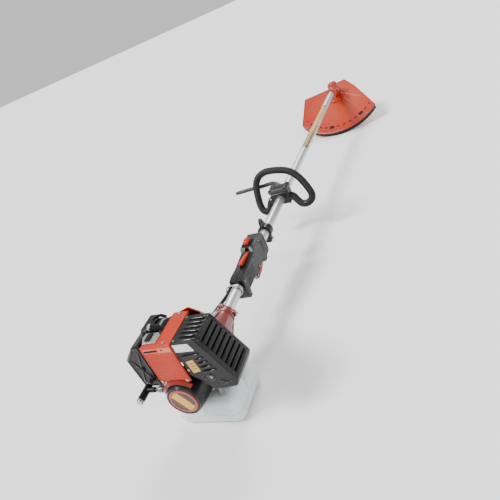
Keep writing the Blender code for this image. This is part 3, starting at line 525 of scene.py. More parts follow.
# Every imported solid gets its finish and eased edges; sealed inner pieces keep their own mesh
hiddenNodes = ("piston", "crank_bearing_rear", "crank_bearing_front", "drum_bearing",
               "pinion_bearing", "output_bearing", "shaft_bush_1", "shaft_bush_2",
               "filter_element", "crankshaft", "clutch_shoes", "clutch_drum", "drive_shaft",
               "drive_pinion", "bevel_gear", "starter_reel", "crankcase", "flywheel",
               "output_shaft", "throttle_cable", "starter_rope", "loop_handle", "barrier_bar",
               "guard_plate")
easing = {"fuel_tank": 0.0, "shaft_tube": 0.0, "guard_plate": 0.0008, "guard_skirt": 0.0006,
          "spark_plug": 0.0003, "rope_guide": 0.0, "output_nut": 0.0006, "sling_clamp": 0.001,
          "grip_left": 0.0008, "grip_right": 0.0008, "lock_button": 0.0005,
          "bracket_base": 0.0012, "gear_case": 0.0007, "choke_lever": 0.0004,
          "outer_washer": 0.0004}
for node, cadPiece in frame["nodes"].items():
    cadPiece.data.materials.clear()
    cadPiece.data.materials.append(finishes[slotOf[node]])
    if node not in hiddenNodes:
        dressed(node, bevel=easing.get(node, 0.0007))
print("solids dressed")


def addRib(bm, start, end, outward, width, proud, steps=6, taper=0.25):
    # a half-round rib standing on a face, with drawn-down ends
    start, end, outward = Vector(start), Vector(end), Vector(outward).normalized()
    length = (end - start).length
    ahead = (end - start) / length
    side = outward.cross(ahead)
    lead = min(width * 0.5, length * 0.3) / length
    rings = []
    for share, size in ((0, taper), (lead * 0.35, 0.8), (lead, 1), (1 - lead, 1),
                        (1 - lead * 0.35, 0.8), (1, taper)):
        centre = start + ahead * length * share
        ring = [bm.verts.new(centre - outward * 0.0004 + side * width / 2 * size * f)
                for f in (1, -1)]
        for k in range(steps, -1, -1):
            angle = math.pi * k / steps
            ring.append(bm.verts.new(centre + side * math.cos(angle) * width / 2 * size
                                     + outward * math.sin(angle) * proud * size))
        rings.append(ring)
    for first, second in zip(rings, rings[1:]):
        for k in range(len(first)):
            after = (k + 1) % len(first)
            bm.faces.new([first[k], first[after], second[after], second[k]])
    bm.faces.new(rings[0][::-1])
    bm.faces.new(rings[-1])


def arcPoints(radius, start, end, count, centre=(0, 0)):
    angles = [math.radians(start + (end - start) * k / count) for k in range(count + 1)]
    return [(centre[0] + radius * math.cos(a), centre[1] + radius * math.sin(a)) for a in angles]


rearward = Vector((0, -1, 0))
forward = Vector((0, 1, 0))
rightward = Vector((1, 0, 0))

# Rear panel: pressed ribs, a vent slot and a round hole in the top edge drawn as painted shade, a paler strip and
# rims there as painted highlight, two screws and the dark collar below
rearPanel = {"ribs": 13, "lowest": 0.0505, "pitch": 0.0056, "left": -0.0345, "right": 0.0340,
             "ribWidth": 0.0044, "ribProud": 0.0013}


def makeRearPanel():
    low, high = nodeBox("cylinder_cover")
    face = low.y
    bm = bmesh.new()
    for k in range(rearPanel["ribs"]):
        z = rearPanel["lowest"] + rearPanel["pitch"] * k
        addRib(bm, (rearPanel["left"], face, z), (rearPanel["right"], face, z), rearward,
               rearPanel["ribWidth"], rearPanel["ribProud"], taper=0.6)
    addRib(bm, (rearPanel["left"], face, 0.0455), (rearPanel["left"], face, 0.134), rearward,
           0.0028, 0.0016)
    addRib(bm, (rearPanel["right"] + 0.0005, face, 0.0455), (rearPanel["right"] + 0.0005, face,
                                                            0.131), rearward, 0.0028, 0.0016)
    for side in (-1, 1):
        addRib(bm, (0.0172 + side * 0.0172, -0.300, high.z), (0.0172 + side * 0.0172, -0.209, high.z),
               upward, 0.0020, 0.0007)
    finished("panelRibs", bm, finishes["orange_plastic"], "machine")
    # painted shade: the vent slot and the round hole are dark slabs on the face, standing in for the shade inside
    # them
    bm = bmesh.new()
    spot = placed((-0.0150, face, 0.1275), rearward)
    slot = [(-0.0155, -0.0028), (0.0155, -0.0022), (0.0165, 0.0025), (-0.0160, 0.0018)]
    addSlab(bm, slot, -0.001, 0.0004, spot)
    addTurned(bm, [(0, 0.0004), (0.0022, 0.0004), (0.0022, -0.001)],
              placed((0.0120, face, 0.1290), rearward), 16)
    finished("panelSlot", bm, extras["pitBlack"], "machine", bevel=0.0002)
    # painted highlight: a paler orange strip standing in for the lit chamfer face along the panel's top edge
    bm = bmesh.new()
    strip = [(-0.0335, 0.1215), (0.0330, 0.1225), (0.0330, 0.1330), (-0.0335, 0.1335)]
    addSlab(bm, [(-x, z) for x, z in strip[::-1]], -0.0005, 0.0002, placed((0, face, 0), rearward))
    finished("panelStrip", bm, extras["paintedHighlightOrange"], "machine", bevel=0.0003)
    # painted highlight: paler orange rims round the vent slot and the round hole
    bm = bmesh.new()
    rim = [(x * 1.10, y * 1.55 + 0.0002) for x, y in slot]
    loop = [spot @ Vector((x, y, 0.0003)) for x, y in rim]
    addTube(bm, loop, 0.0009, 8, closed=True)
    addTurned(bm, [(0.0022, 0.0002), (0.0026, 0.0011), (0.0038, 0.0008), (0.0041, -0.0005)],
              placed((0.0120, face, 0.1290), rearward), 20)
    finished("panelSlotRim", bm, extras["paintedHighlightOrange"], "machine")
    bm = bmesh.new()
    for side in (-1, 1):
        addScrew(bm, (side * 0.0298, face, 0.0465), rearward, 0.0034, 0.0026, 0.0042)
    for x, y in ((0.0172, -0.213), (0.0172, -0.296)):
        addScrew(bm, (x, y, high.z), upward, 0.0028, 0.0018, 0.0036)
    finished("panelScrews", bm, extras["screwSteel"], "machine")
    bm = bmesh.new()
    collar = [(0.0398, -0.3085), (0.0400, -0.3125), (0.0415, -0.3132), (0.0480, -0.3090),
              (0.0486, -0.3065), (0.0470, -0.3045), (0.0398, -0.3045), (0.0398, -0.3085)]
    ahead = placed((0, 0, 0), forward, upward)
    addTurned(bm, collar, ahead, 40, math.radians(112), math.radians(24))
    finished("starterCollar", bm, finishes["dark_red_paint"], "machine")


# Recoil starter: rim, ringed badge with a slanting band, cooling slots round the cup
starter = {"badge": 0.0315, "disc": 0.0262, "bandHalf": 0.0108, "bandSlope": math.radians(-57),
           "slots": 14}


def makeStarter():
    spot = placed((0, layout["starterFace"], 0), rearward)
    bm = bmesh.new()
    ring = [(starter["disc"], -0.0004), (starter["disc"], 0.0009), (starter["disc"] + 0.0012, 0.0013),
            (starter["badge"] - 0.001, 0.0011), (starter["badge"], 0.0005),
            (starter["badge"], -0.0004)]
    addTurned(bm, ring, spot, 64)
    finished("badgeRing", bm, extras["badgeRed"], "machine")
    bm = bmesh.new()
    addTurned(bm, [(0, 0.0007), (starter["disc"], 0.0007), (starter["disc"], -0.0003)], spot, 64)
    finished("badgeDisc", bm, extras["badgeBlack"], "machine")
    turn = spot @ Matrix.Rotation(starter["bandSlope"], 4, "Z")
    radius = starter["disc"] - 0.0006
    bm = bmesh.new()
    reach = math.degrees(math.asin(starter["bandHalf"] / radius))
    band = arcPoints(radius, -reach, reach, 6) + arcPoints(radius, 180 - reach, 180 + reach, 6)
    addSlab(bm, band, 0, 0.0011, turn)
    finished("badgeBand", bm, extras["labelYellow"], "machine", bevel=0.0002)
    bm = bmesh.new()
    for side in (-1, 1):
        for offset, half in ((0.0138, 0.0005), (0.0160, 0.0005)):
            near, far = offset - half, offset + half
            reachNear = math.degrees(math.acos(near / radius))
            reachFar = math.degrees(math.acos(far / radius))
            x0 = radius * math.sin(math.radians(reachNear)) - 0.004
            x1 = radius * math.sin(math.radians(reachFar)) - 0.004
            shift = 0.004 if offset > 0.013 else -0.001
            strip = [(-x0 + shift, side * near), (x0 - 0.006, side * near),
                     (x1 - 0.006, side * far), (-x1 + shift, side * far)]
            addSlab(bm, strip if side > 0 else strip[::-1], 0, 0.0010, turn)
    finished("badgeStripes", bm, extras["badgeRed"], "machine")
    bm = bmesh.new()
    outer = [(0.0335, 0.0001), (0.0345, 0.0012), (0.0362, 0.0008), (0.0375, -0.0016)]
    addTurned(bm, outer, spot, 64)
    for k in range(starter["slots"]):
        angle = math.radians(198 + 144 * k / (starter["slots"] - 1))
        out = Vector((math.cos(angle), 0, math.sin(angle)))
        addRib(bm, out * 0.0396 + Vector((0, -0.305, 0)), out * 0.0409 + Vector((0, -0.268, 0)),
               out, 0.0034, 0.0011)
    finished("starterRim", bm, extras["blackShine"], "machine")
    bm = bmesh.new()
    for angle in (150, 255, 330):
        out = Vector((math.cos(math.radians(angle)), 0, math.sin(math.radians(angle))))
        foot = out * 0.0452 + Vector((0, -0.2640, 0))
        addTurned(bm, [(0, 0.004), (0.0052, 0.004), (0.0060, 0.003), (0.0060, -0.003)],
                  placed(foot, rearward), 20)
        addBlock(bm, (0.010, 0.006, 0.006), placed(out * 0.0405 + Vector((0, -0.2640, 0)), out))
    finished("starterLugs", bm, finishes["black_plastic"], "machine", bevel=0.0005)
    bm = bmesh.new()
    for angle in (150, 255, 330):
        out = Vector((math.cos(math.radians(angle)), 0, math.sin(math.radians(angle))))
        addScrew(bm, out * 0.0452 + Vector((0, -0.2680, 0)), rearward, 0.0030, 0.0024)
    finished("starterScrews", bm, extras["screwSteel"], "machine")


# Pull handle and its rope
pull = {"ropeRadius": 0.00175, "fall": math.radians(1.9), "reel": 0.024, "station": -0.303,
        "guideEnd": 0.056, "handle": 0.0655, "centre": 0.0893, "rope": (0.027, 0.082),
        "bar": (-0.2845, -0.3360)}


def ropePoint(distance):
    out = Vector((-math.cos(pull["fall"]), 0, -math.sin(pull["fall"])))
    leave = Vector((-pull["reel"] * math.sin(pull["fall"]), pull["station"],
                    pull["reel"] * math.cos(pull["fall"])))
    return leave + out * distance


def makePull():
    bm = bmesh.new()
    first, last = pull["rope"]
    line = [ropePoint(first + (last - first) * k / 24) for k in range(25)]
    addTube(bm, line, pull["ropeRadius"], 12)
    mesh = bpy.data.meshes.new("starterCord")
    bm.to_mesh(mesh)
    bm.free()
    mesh.transform(toWorld)
    mesh.materials.append(finishes["rope_fibre"])
    mesh.shade_smooth()
    cord = bpy.data.objects.new("starterCord", mesh)
    bpy.context.scene.collection.objects.link(cord)
    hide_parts("starter_rope")
    toWorld @ ropePoint(pull["guideEnd"])
    toWorld @ ropePoint(pull["handle"])
    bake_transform(cord)
    knot = ropePoint(pull["centre"])
    bm = bmesh.new()
    for side, y in zip((1, -1), pull["bar"]):
        cap = [(0, 0.0011), (0.0040, 0.0011), (0.0056, 0.0004), (0.0064, -0.0010),
               (0.0077, -0.0030), (0.0077, -0.0052), (0.0074, -0.0060)]
        addTurned(bm, cap, placed((knot.x, y, knot.z), forward * side), 24)
    finished("handleCaps", bm, extras["plateSilver"], "pull_handle")
    bm = bmesh.new()
    for k in range(9):
        y = pull["bar"][1] + 0.0098 + k * 0.0040
        ring = [(0.0074, -0.0010), (0.0081, -0.0006), (0.0081, 0.0006), (0.0074, 0.0010)]
        addTurned(bm, ring, placed((knot.x, y, knot.z), forward), 24)
    finished("handleRibs", bm, finishes["black_plastic"], "pull_handle")
    bm = bmesh.new()
    out = (ropePoint(1) - ropePoint(0)).normalized()
    for place in (0.0455, 0.0490, 0.0525):
        addTurned(bm, [(0.0064, -0.0008), (0.0074, -0.0004), (0.0074, 0.0004), (0.0064, 0.0008)],
                  placed(ropePoint(place), out), 24)
    addTurned(bm, [(0.0034, 0.0004), (0.0040, 0.0014), (0.0056, 0.0012), (0.0065, 0.0)],
              placed(ropePoint(pull["guideEnd"]), out), 24)
    finished("guideRings", bm, extras["plateSilver"], "machine")


# Air filter cover: framed rear face with crossed ribs, a side knob and a dark red strip that is a painted
# reflection
airFilter = {"ribWidth": 0.0042, "proud": 0.0014}


def makeAirFilter():
    low = nodeBox("filter_cover")[0]
    face = low.y
    frameLine = [(-0.0700, 0.1185), (-0.0835, 0.1150), (-0.1115, 0.0865), (-0.1080, 0.0165),
                 (-0.1020, 0.0120), (-0.0700, 0.0120)]
    bm = bmesh.new()
    for (x0, z0), (x1, z1) in zip(frameLine, frameLine[1:] + frameLine[:1]):
        addRib(bm, (x0, face, z0), (x1, face, z1), rearward, airFilter["ribWidth"],
               airFilter["proud"], taper=0.8)
    hub = Vector((-0.0895, face, 0.0600))
    for x, z in ((-0.0735, 0.1080), (-0.1060, 0.0850), (-0.1040, 0.0210), (-0.0735, 0.0190)):
        addRib(bm, hub, (x, face, z), rearward, 0.0052, 0.0020)
    for k in range(4):
        z = 0.034 + 0.017 * k
        addRib(bm, (low.x + 0.0028 + 0.0004 * k, -0.272, z), (low.x + 0.0028 + 0.0004 * k, -0.217, z),
               (-1, 0, 0), 0.0040, 0.0042)
    finished("filterRibs", bm, extras["blackShine"], "machine")
    bm = bmesh.new()
    addTurned(bm, [(0, 0.0042), (0.0050, 0.0040), (0.0068, 0.0026), (0.0074, 0.0)],
              placed(hub, rearward), 28)
    finished("filterKnob", bm, finishes["black_plastic"], "machine", bevel=0.0009)
    # painted reflection: a dark red strip along the top edge stands in for the red reflection there
    bm = bmesh.new()
    slant = Vector((-0.71, 0, 0.71))
    foot = Vector((-0.0935, 0, 0.1110))
    addRib(bm, foot + Vector((0, -0.277, 0)), foot + Vector((0, -0.213, 0)), slant, 0.0100, 0.0012)
    finished("filterRedReflection", bm, finishes["dark_red_paint"], "machine")
    bm = bmesh.new()
    for y, z in ((-0.276, 0.020), (-0.276, 0.112), (-0.213, 0.020), (-0.213, 0.112)):
        addScrew(bm, (-0.0645, y, z), rightward, 0.0028, 0.0020)
    finished("filterScrews", bm, extras["screwSteel"], "machine")


# Muffler cover: louvres over the top and rear, ridges between the side slots, plain labels
mufflerCover = {"topLouvres": 6, "topFirst": -0.2980, "topPitch": 0.0122, "rearLouvres": 5,
                "rearFirst": 0.1045, "rearPitch": 0.0106, "slots": 8, "slotPitch": 0.0125}


def makeMufflerCover():
    low, high = nodeBox("muffler_cover")
    face = low.y
    top = high.z
    bm = bmesh.new()
    for k in range(mufflerCover["topLouvres"]):
        y = mufflerCover["topFirst"] + mufflerCover["topPitch"] * k
        line = smoothLine([(0.0480, y, top - 0.0006), (0.0560, y, top + 0.0008),
                           (0.0800, y, top + 0.0010), (0.0900, y + 0.0005, top - 0.0012),
                           (0.0938, y + 0.0012, top - 0.0075)], 4)
        addTube(bm, line, lambda share: 0.0016 + 0.0016 * math.sin(math.pi * share) ** 0.6, 10)
    for k in range(mufflerCover["rearLouvres"]):
        z = mufflerCover["rearFirst"] - mufflerCover["rearPitch"] * k
        start = 0.0440 if k == 0 else 0.0705
        end = 0.0850 + 0.0045 * k
        line = smoothLine([(start, face + 0.0008, z - 0.0010), (start + 0.006, face - 0.0010, z),
                           (end - 0.008, face - 0.0010, z + 0.0022),
                           (end, face - 0.0004, z + 0.0034)], 4)
        addTube(bm, line, lambda share: 0.0013 + 0.0014 * math.sin(math.pi * share) ** 0.6, 10)
    finished("coverLouvres", bm, extras["blackShine"], "machine")
    # painted shade: dark slabs between the top louvres stand in for the shade in the grooves
    bm = bmesh.new()
    for k in range(mufflerCover["topLouvres"] - 1):
        y = mufflerCover["topFirst"] + mufflerCover["topPitch"] * (k + 0.5)
        addSlab(bm, [(-0.0150, -0.0022), (0.0170, -0.0022), (0.0190, 0.0022), (-0.0150, 0.0022)],
                -0.001, 0.0003, placed((0.0680, y, top), upward, forward))
    finished("coverGrooves", bm, extras["pitBlack"], "machine")
    upper, lower = Vector((0.092, 0, 0.1385)), Vector((0.136, 0, 0.034))
    down = (lower - upper).normalized()
    outward = Vector((-down.z, 0, down.x))
    middle = (upper + lower) / 2
    bm = bmesh.new()
    for k in range(mufflerCover["slots"] + 1):
        offset = (k - mufflerCover["slots"] / 2) * mufflerCover["slotPitch"]
        spot = middle + down * offset
        addRib(bm, spot + Vector((0, -0.293, 0)), spot + Vector((0, -0.232, 0)), outward, 0.0058,
               0.0014)
    for rowY in (-0.2985, -0.2265):
        for k in range(mufflerCover["slots"] + 1):
            offset = (k - mufflerCover["slots"] / 2) * mufflerCover["slotPitch"]
            spot = middle + down * offset + Vector((0, rowY, 0))
            addTurned(bm, [(0, 0.0011), (0.0010, 0.0008), (0.0015, -0.0004)],
                      placed(spot, outward), 10)
    finished("coverRidges", bm, finishes["black_plastic"], "machine")
    # painted shade: a dark sheet set behind the side slots stands in for the shade inside the cover
    bm = bmesh.new()
    depth = 0.0085
    addBlock(bm, (0.072, 0.098, 0.0012),
             placed(middle + Vector((0, -0.2625, 0)) - outward * depth, outward, down))
    finished("coverSlotShade", bm, extras["pitBlack"], "machine")
    bm = bmesh.new()
    ring = [(0.0046, -0.0004), (0.0050, 0.0012), (0.0078, 0.0014), (0.0092, 0.0006),
            (0.0095, -0.0006)]
    addTurned(bm, ring, placed((0.0820, face, 0.0450), rearward), 32)
    addRib(bm, (0.058, face, 0.046), (0.070, face, 0.044), rearward, 0.0060, 0.0016)
    addRib(bm, (0.094, face, 0.036), (0.112, face, 0.030), rearward, 0.0050, 0.0016)
    addRib(bm, (0.100, face, 0.0245), (0.126, face, 0.0360), rearward, 0.0030, 0.0012)
    finished("coverBoss", bm, extras["blackShine"], "machine")
    bm = bmesh.new()
    addScrew(bm, (0.0820, face, 0.0450), rearward, 0.0036, 0.0010)
    addScrew(bm, (0.0432, face, 0.0690), rearward, 0.0030, 0.0022)
    for y in (-0.2960, -0.2290):
        addScrew(bm, (0.0415, y, top), upward, 0.0024, 0.0018)
    finished("coverScrews", bm, extras["screwSteel"], "machine")
    rear = placed((0, face, 0), rearward)
    bm = bmesh.new()
    addSlab(bm, [(0.0385, 0.1160), (0.0800, 0.1160), (0.0735, 0.1345), (0.0385, 0.1345)],
            -0.0002, 0.0005, rear)
    finished("whiteLabel", bm, extras["labelWhite"], "machine", bevel=0.0001)
    bm = bmesh.new()
    addSlab(bm, [(0.0500, 0.0600), (0.0680, 0.0640), (0.0645, 0.0940), (0.0470, 0.0905)],
            -0.0002, 0.0006, rear)
    finished("yellowLabel", bm, extras["labelYellow"], "machine", bevel=0.0001)
    bm = bmesh.new()
    for k in range(3):
        z = 0.0690 + 0.0070 * k
        addSlab(bm, [(0.0530, z), (0.0630, z + 0.0022), (0.0628, z + 0.0040), (0.0528, z + 0.0018)],
                0, 0.0008, rear)
    finished("labelBars", bm, extras["badgeBlack"], "machine")


# Plated bracket with its clip over the plug, the plug's lead, and the smooth intake dome
plugSide = {"leadRadius": 0.0034}


def makePlugSide():
    bm = bmesh.new()
    level = 0.1372
    plate = [(-0.0350, -0.2945), (-0.0030, -0.2945), (-0.0030, -0.2720), (-0.0110, -0.2640),
             (-0.0420, -0.2640), (-0.0420, -0.2790)]
    addSlab(bm, plate, level, level + 0.0016, Matrix.Identity(4))
    addSlab(bm, [(-0.0420, -0.2656), (-0.0110, -0.2656), (-0.0110, -0.2640), (-0.0420, -0.2640)],
            level - 0.0100, level, Matrix.Identity(4))
    finished("plugBracket", bm, extras["plateSilver"], "machine", bevel=0.0004)
    bm = bmesh.new()
    addBlock(bm, (0.0125, 0.0190, 0.0030), Matrix.Translation((-0.0265, -0.2775, level + 0.0026)))
    addBlock(bm, (0.0080, 0.0050, 0.0100), Matrix.Translation((-0.0265, -0.2672, level - 0.0030)))
    finished("plugClip", bm, extras["pitBlack"], "machine", bevel=0.0008)
    lean = Vector((-0.62, -0.36, 0.70)).normalized()
    foot = Vector((-0.008, -0.238, 0.1148))
    bm = bmesh.new()
    for k in range(3):
        addTurned(bm, [(0.0090, -0.0009), (0.0106, -0.0004), (0.0106, 0.0004), (0.0090, 0.0009)],
                  placed(foot + lean * (0.020 + 0.006 * k), lean), 28)
    finished("bootRibs", bm, finishes["rubber"], "machine")
    bm = bmesh.new()
    side = Vector((-0.30, 0.80, 0.20)).normalized()
    line = smoothLine([foot + lean * 0.036, foot + lean * 0.038 + side * 0.014,
                       (-0.0400, -0.2280, 0.1455), (-0.0330, -0.2120, 0.1400),
                       (-0.0250, -0.2060, 0.1300)], 8)
    addTube(bm, line, lambda share: plugSide["leadRadius"] * (1.5 - min(share * 3, 0.5)), 16)
    finished("plugLead", bm, finishes["rubber"], "machine")
    bm = bmesh.new()
    addTurned(bm, [(0, 0.0030), (0.0040, 0.0028), (0.0062, 0.0012), (0.0066, -0.0010)],
              placed(foot + lean * 0.0452, lean), 24)
    finished("bootTip", bm, extras["plateSilver"], "machine")
    bm = bmesh.new()
    grid = []
    for i in range(13):
        x = -0.0655 + (-0.0075 + 0.0655) * i / 12
        row = []
        for k in range(11):
            y = -0.2620 + (-0.2068 + 0.2620) * k / 10
            edge = min(i, 12 - i, k * 1.2, (10 - k) * 1.2) / 3
            swell = 1 - max(0, 1 - edge) ** 2
            row.append(bm.verts.new((x, y, 0.1215 + 0.0155 * swell + 0.002 * math.sin(i / 4))))
        grid.append(row)
    for first, second in zip(grid, grid[1:]):
        for k in range(10):
            bm.faces.new([first[k], second[k], second[k + 1], first[k + 1]])
    rim = [row[0] for row in grid] + grid[-1][1:] + [row[-1] for row in grid[-2::-1]]
    rim += grid[0][-2:0:-1]
    foot = [bm.verts.new((vert.co.x, vert.co.y, 0.1120)) for vert in rim]
    for k in range(len(rim)):
        after = (k + 1) % len(rim)
        bm.faces.new([rim[k], rim[after], foot[after], foot[k]])
    finished("intakeHood", bm, extras["blackShine"], "machine", 50)
    bm = bmesh.new()
    for k in range(4):
        x = -0.0560 + 0.0046 * k
        addRib(bm, (x, -0.2480, 0.1380), (x, -0.2140, 0.1380), upward, 0.0018, 0.0010)
    finished("domeRibs", bm, extras["blackShine"], "machine")


for build in (makeRearPanel, makeStarter, makePull, makeAirFilter, makeMufflerCover,
              makePlugSide):
    build()
print("engine covers detailed")
# Fan housing, clutch housing and tank details
front = {"plate": (-0.078, -0.110), "rimScrews": (110, 152, 215, 325), "lug": -0.0570}


def coneRadius(y):
    low, high = (-0.074, 0.0252), (-0.118, 0.0372)
    return low[1] + (high[1] - low[1]) * (y - low[0]) / (high[0] - low[0])


def makeFanDetails():
    bm = bmesh.new()
    for z in (0.060, 0.072, 0.084):
        addRib(bm, (-0.0410, -0.1560, z), (-0.0410, -0.1960, z), -rightward, 0.0040, 0.0012)
    for z in (0.044, 0.056, 0.068):
        addRib(bm, (0.0580, -0.1840, z), (0.0580, -0.2000, z), rightward, 0.0040, 0.0012)
    for angle in range(200, 341, 20):
        out = Vector((math.cos(math.radians(angle)), 0, math.sin(math.radians(angle))))
        addRib(bm, out * 0.0590 + Vector((0, -0.1520, 0)), out * 0.0590 + Vector((0, -0.2010, 0)),
               out, 0.0036, 0.0014)
    finished("fanRibs", bm, finishes["orange_paint"], "machine")
    bm = bmesh.new()
    for angle in front["rimScrews"]:
        out = Vector((math.cos(math.radians(angle)), 0, math.sin(math.radians(angle))))
        foot = out * 0.0530
        addTurned(bm, [(0, 0.0030), (0.0046, 0.0030), (0.0052, 0.0022), (0.0056, -0.0010)],
                  placed(foot + Vector((0, -0.148, 0)), forward), 20)
    finished("fanBosses", bm, finishes["orange_paint"], "machine")
    bm = bmesh.new()
    for angle in front["rimScrews"]:
        out = Vector((math.cos(math.radians(angle)), 0, math.sin(math.radians(angle))))
        addScrew(bm, out * 0.0530 + Vector((0, -0.145, 0)), forward, 0.0030, 0.0024)
    addScrew(bm, (-0.0330, -0.148, 0.0860), forward, 0.0030, 0.0024, 0.0040)
    finished("fanScrews", bm, extras["screwSteel"], "machine")


def makeClutchDetails():
    bm = bmesh.new()
    for angle in (30, 90, 150, 210, 270, 330):
        out = Vector((math.cos(math.radians(angle)), 0, math.sin(math.radians(angle))))
        line = [out * (coneRadius(y) + 0.0004) + Vector((0, y, 0))
                for y in (-0.076, -0.090, -0.104, -0.116)]
        line += [out * 0.0405 + Vector((0, -0.1340, 0))]
        addTube(bm, smoothLine(line, 3), lambda share: 0.0016 + 0.0014 * share, 10)
    addTurned(bm, [(0.0236, -0.0010), (0.0262, 0), (0.0262, 0.0060), (0.0252, 0.0072),
                   (0.0236, 0.0078)], placed((0, -0.0715, 0), forward), 40)
    lug = placed((0.0245, front["lug"], 0.0), rightward)
    addBlock(bm, (0.0130, 0.0150, 0.0080), lug, 0.86)
    addBlock(bm, (0.0110, 0.0150, 0.0080), placed((0, front["lug"], 0.0245)), 0.86)
    finished("clutchRibs", bm, finishes["dark_red_paint"], "machine", bevel=0.0009)
    bm = bmesh.new()
    addScrew(bm, (0.0284, front["lug"], 0.0), rightward, 0.0036, 0.0036, 0.0052)
    addScrew(bm, (0, front["lug"], 0.0284), upward, 0.0030, 0.0026, 0.0044)
    for angle in (60, 120, 240, 300):
        out = Vector((math.cos(math.radians(angle)), 0, math.sin(math.radians(angle))))
        addScrew(bm, out * 0.0455 + Vector((0, -0.1392, 0)), forward, 0.0030, 0.0026, 0.0042)
    finished("clutchScrews", bm, extras["screwSteel"], "machine")
    bm = bmesh.new()
    rows = []
    for k in range(9):
        angle = math.radians(82 + 64 * k / 8)
        out = Vector((math.cos(angle), 0, math.sin(angle)))
        rows.append([bm.verts.new(out * (coneRadius(y) + 0.0022) + Vector((0, y, 0)))
                     for y in (front["plate"][0], front["plate"][1])])
    for first, second in zip(rows, rows[1:]):
        bm.faces.new([first[0], second[0], second[1], first[1]])
    bmesh.ops.solidify(bm, geom=bm.faces[:], thickness=0.0011)
    finished("clutchPlate", bm, extras["plateSilver"], "machine", bevel=0.0003)
    bm = bmesh.new()
    for angle in (90, 138):
        out = Vector((math.cos(math.radians(angle)), 0, math.sin(math.radians(angle))))
        for y in (-0.0815, -0.1065):
            addScrew(bm, out * (coneRadius(y) + 0.0024) + Vector((0, y, 0)), out, 0.0019, 0.0013)
    finished("plateScrews", bm, extras["screwSteel"], "machine")


def makeTankDetails():
    low = nodeBox("fuel_tank")[0]
    half = 0.0800
    seam = -0.0880
    bm = bmesh.new()
    ring = []
    for cx, cy, first in ((half - 0.018, -0.160, 0), (0.018 - half, -0.160, 90),
                          (0.018 - half, -0.266, 180), (half - 0.018, -0.266, 270)):
        for angle in range(first, first + 91, 15):
            ring.append(Vector((cx + 0.0180 * math.cos(math.radians(angle)),
                                cy + 0.0180 * math.sin(math.radians(angle)), seam)))
    addTube(bm, ring, 0.0011, 8, closed=True, flat=1.2)
    for x in (-0.052, -0.026, 0.0, 0.026, 0.052):
        addRib(bm, (x, low.y, -0.099), (x, low.y, -0.065), rearward, 0.0060, 0.0010)
    for y in (-0.262, -0.238, -0.214):
        addRib(bm, (half, y, -0.099), (half, y, -0.068), rightward, 0.0060, 0.0010)
        addRib(bm, (-half, y - 0.004, -0.099), (-half, y - 0.004, -0.068), -rightward, 0.0060,
               0.0010)
    finished("tankSeam", bm, finishes["tank_plastic"], "machine")
    bm = bmesh.new()
    for x in (-0.034, 0.034):
        addBlock(bm, (0.020, 0.030, 0.0270), Matrix.Translation((x, -0.2330, -0.0335)), 0.8)
        addBlock(bm, (0.014, 0.020, 0.0120), Matrix.Translation((x * 0.8, -0.2330, -0.0220)))
    finished("tankMounts", bm, finishes["black_plastic"], "machine", bevel=0.0015)
    bm = bmesh.new()
    coil = []
    for k in range(97):
        angle = math.tau * k / 12
        coil.append(Vector((0.050 + 0.0072 * math.cos(angle), -0.262 + 0.0072 * math.sin(angle),
                            -0.0455 + 0.0235 * k / 96)))
    addTube(bm, coil, 0.0010, 8)
    addTurned(bm, [(0, 0.0035), (0.0050, 0.0030), (0.0068, 0.0), (0.0060, -0.004)],
              placed((0.050, -0.262, -0.0195), upward), 20)
    finished("tankFitting", bm, extras["screwSteel"], "machine")
    bm = bmesh.new()
    addTube(bm, smoothLine([(0.050, -0.262, -0.0190), (0.0505, -0.261, -0.0040),
                            (0.0480, -0.256, 0.0120), (0.0430, -0.246, 0.0300),
                            (0.0400, -0.236, 0.0480)], 6), 0.0034, 12)
    addTube(bm, smoothLine([(-0.0480, -0.262, -0.0465), (-0.0500, -0.262, -0.0300),
                            (-0.0530, -0.256, 0.0000), (-0.0540, -0.240, 0.0300),
                            (-0.0500, -0.228, 0.0470)], 6), 0.0030, 12)
    addTurned(bm, [(0, 0.004), (0.0058, 0.003), (0.0064, -0.002)],
              placed((-0.0480, -0.262, -0.0470), upward), 18)
    finished("fuelHoses", bm, finishes["rubber"], "machine")
    bm = bmesh.new()
    centre = Vector((-0.080, -0.186, -0.092))
    for k in range(20):
        angle = math.tau * k / 20
        out = Vector((0, math.cos(angle), math.sin(angle)))
        addRib(bm, centre + out * 0.0199 + Vector((-0.0022, 0, 0)),
               centre + out * 0.0199 + Vector((-0.0105, 0, 0)), out, 0.0032, 0.0010)
    addBlock(bm, (0.0070, 0.0270, 0.0035),
             Matrix.Translation(centre + Vector((-0.0140, 0, 0))) @ Matrix.Rotation(math.pi / 2,
                                                                                   4, "Y"))
    finished("capRibs", bm, finishes["black_plastic"], "cap", bevel=0.0006)


# Throttle cable: sleeve from the grip along the tube to the carburetor, with its end ferrules
cable = {"radius": 0.0045, "route": ((-0.0195, 0.0455, 0.004), (-0.0200, 0.030, 0.0035),
                                     (-0.021, 0.010, 0.003), (-0.0300, -0.026, 0.002),
                                     (-0.0325, -0.068, 0.010), (-0.042, -0.095, 0.035),
                                     (-0.052, -0.118, 0.060), (-0.0555, -0.160, 0.079),
                                     (-0.0540, -0.192, 0.077), (-0.052, -0.2050, 0.074))}


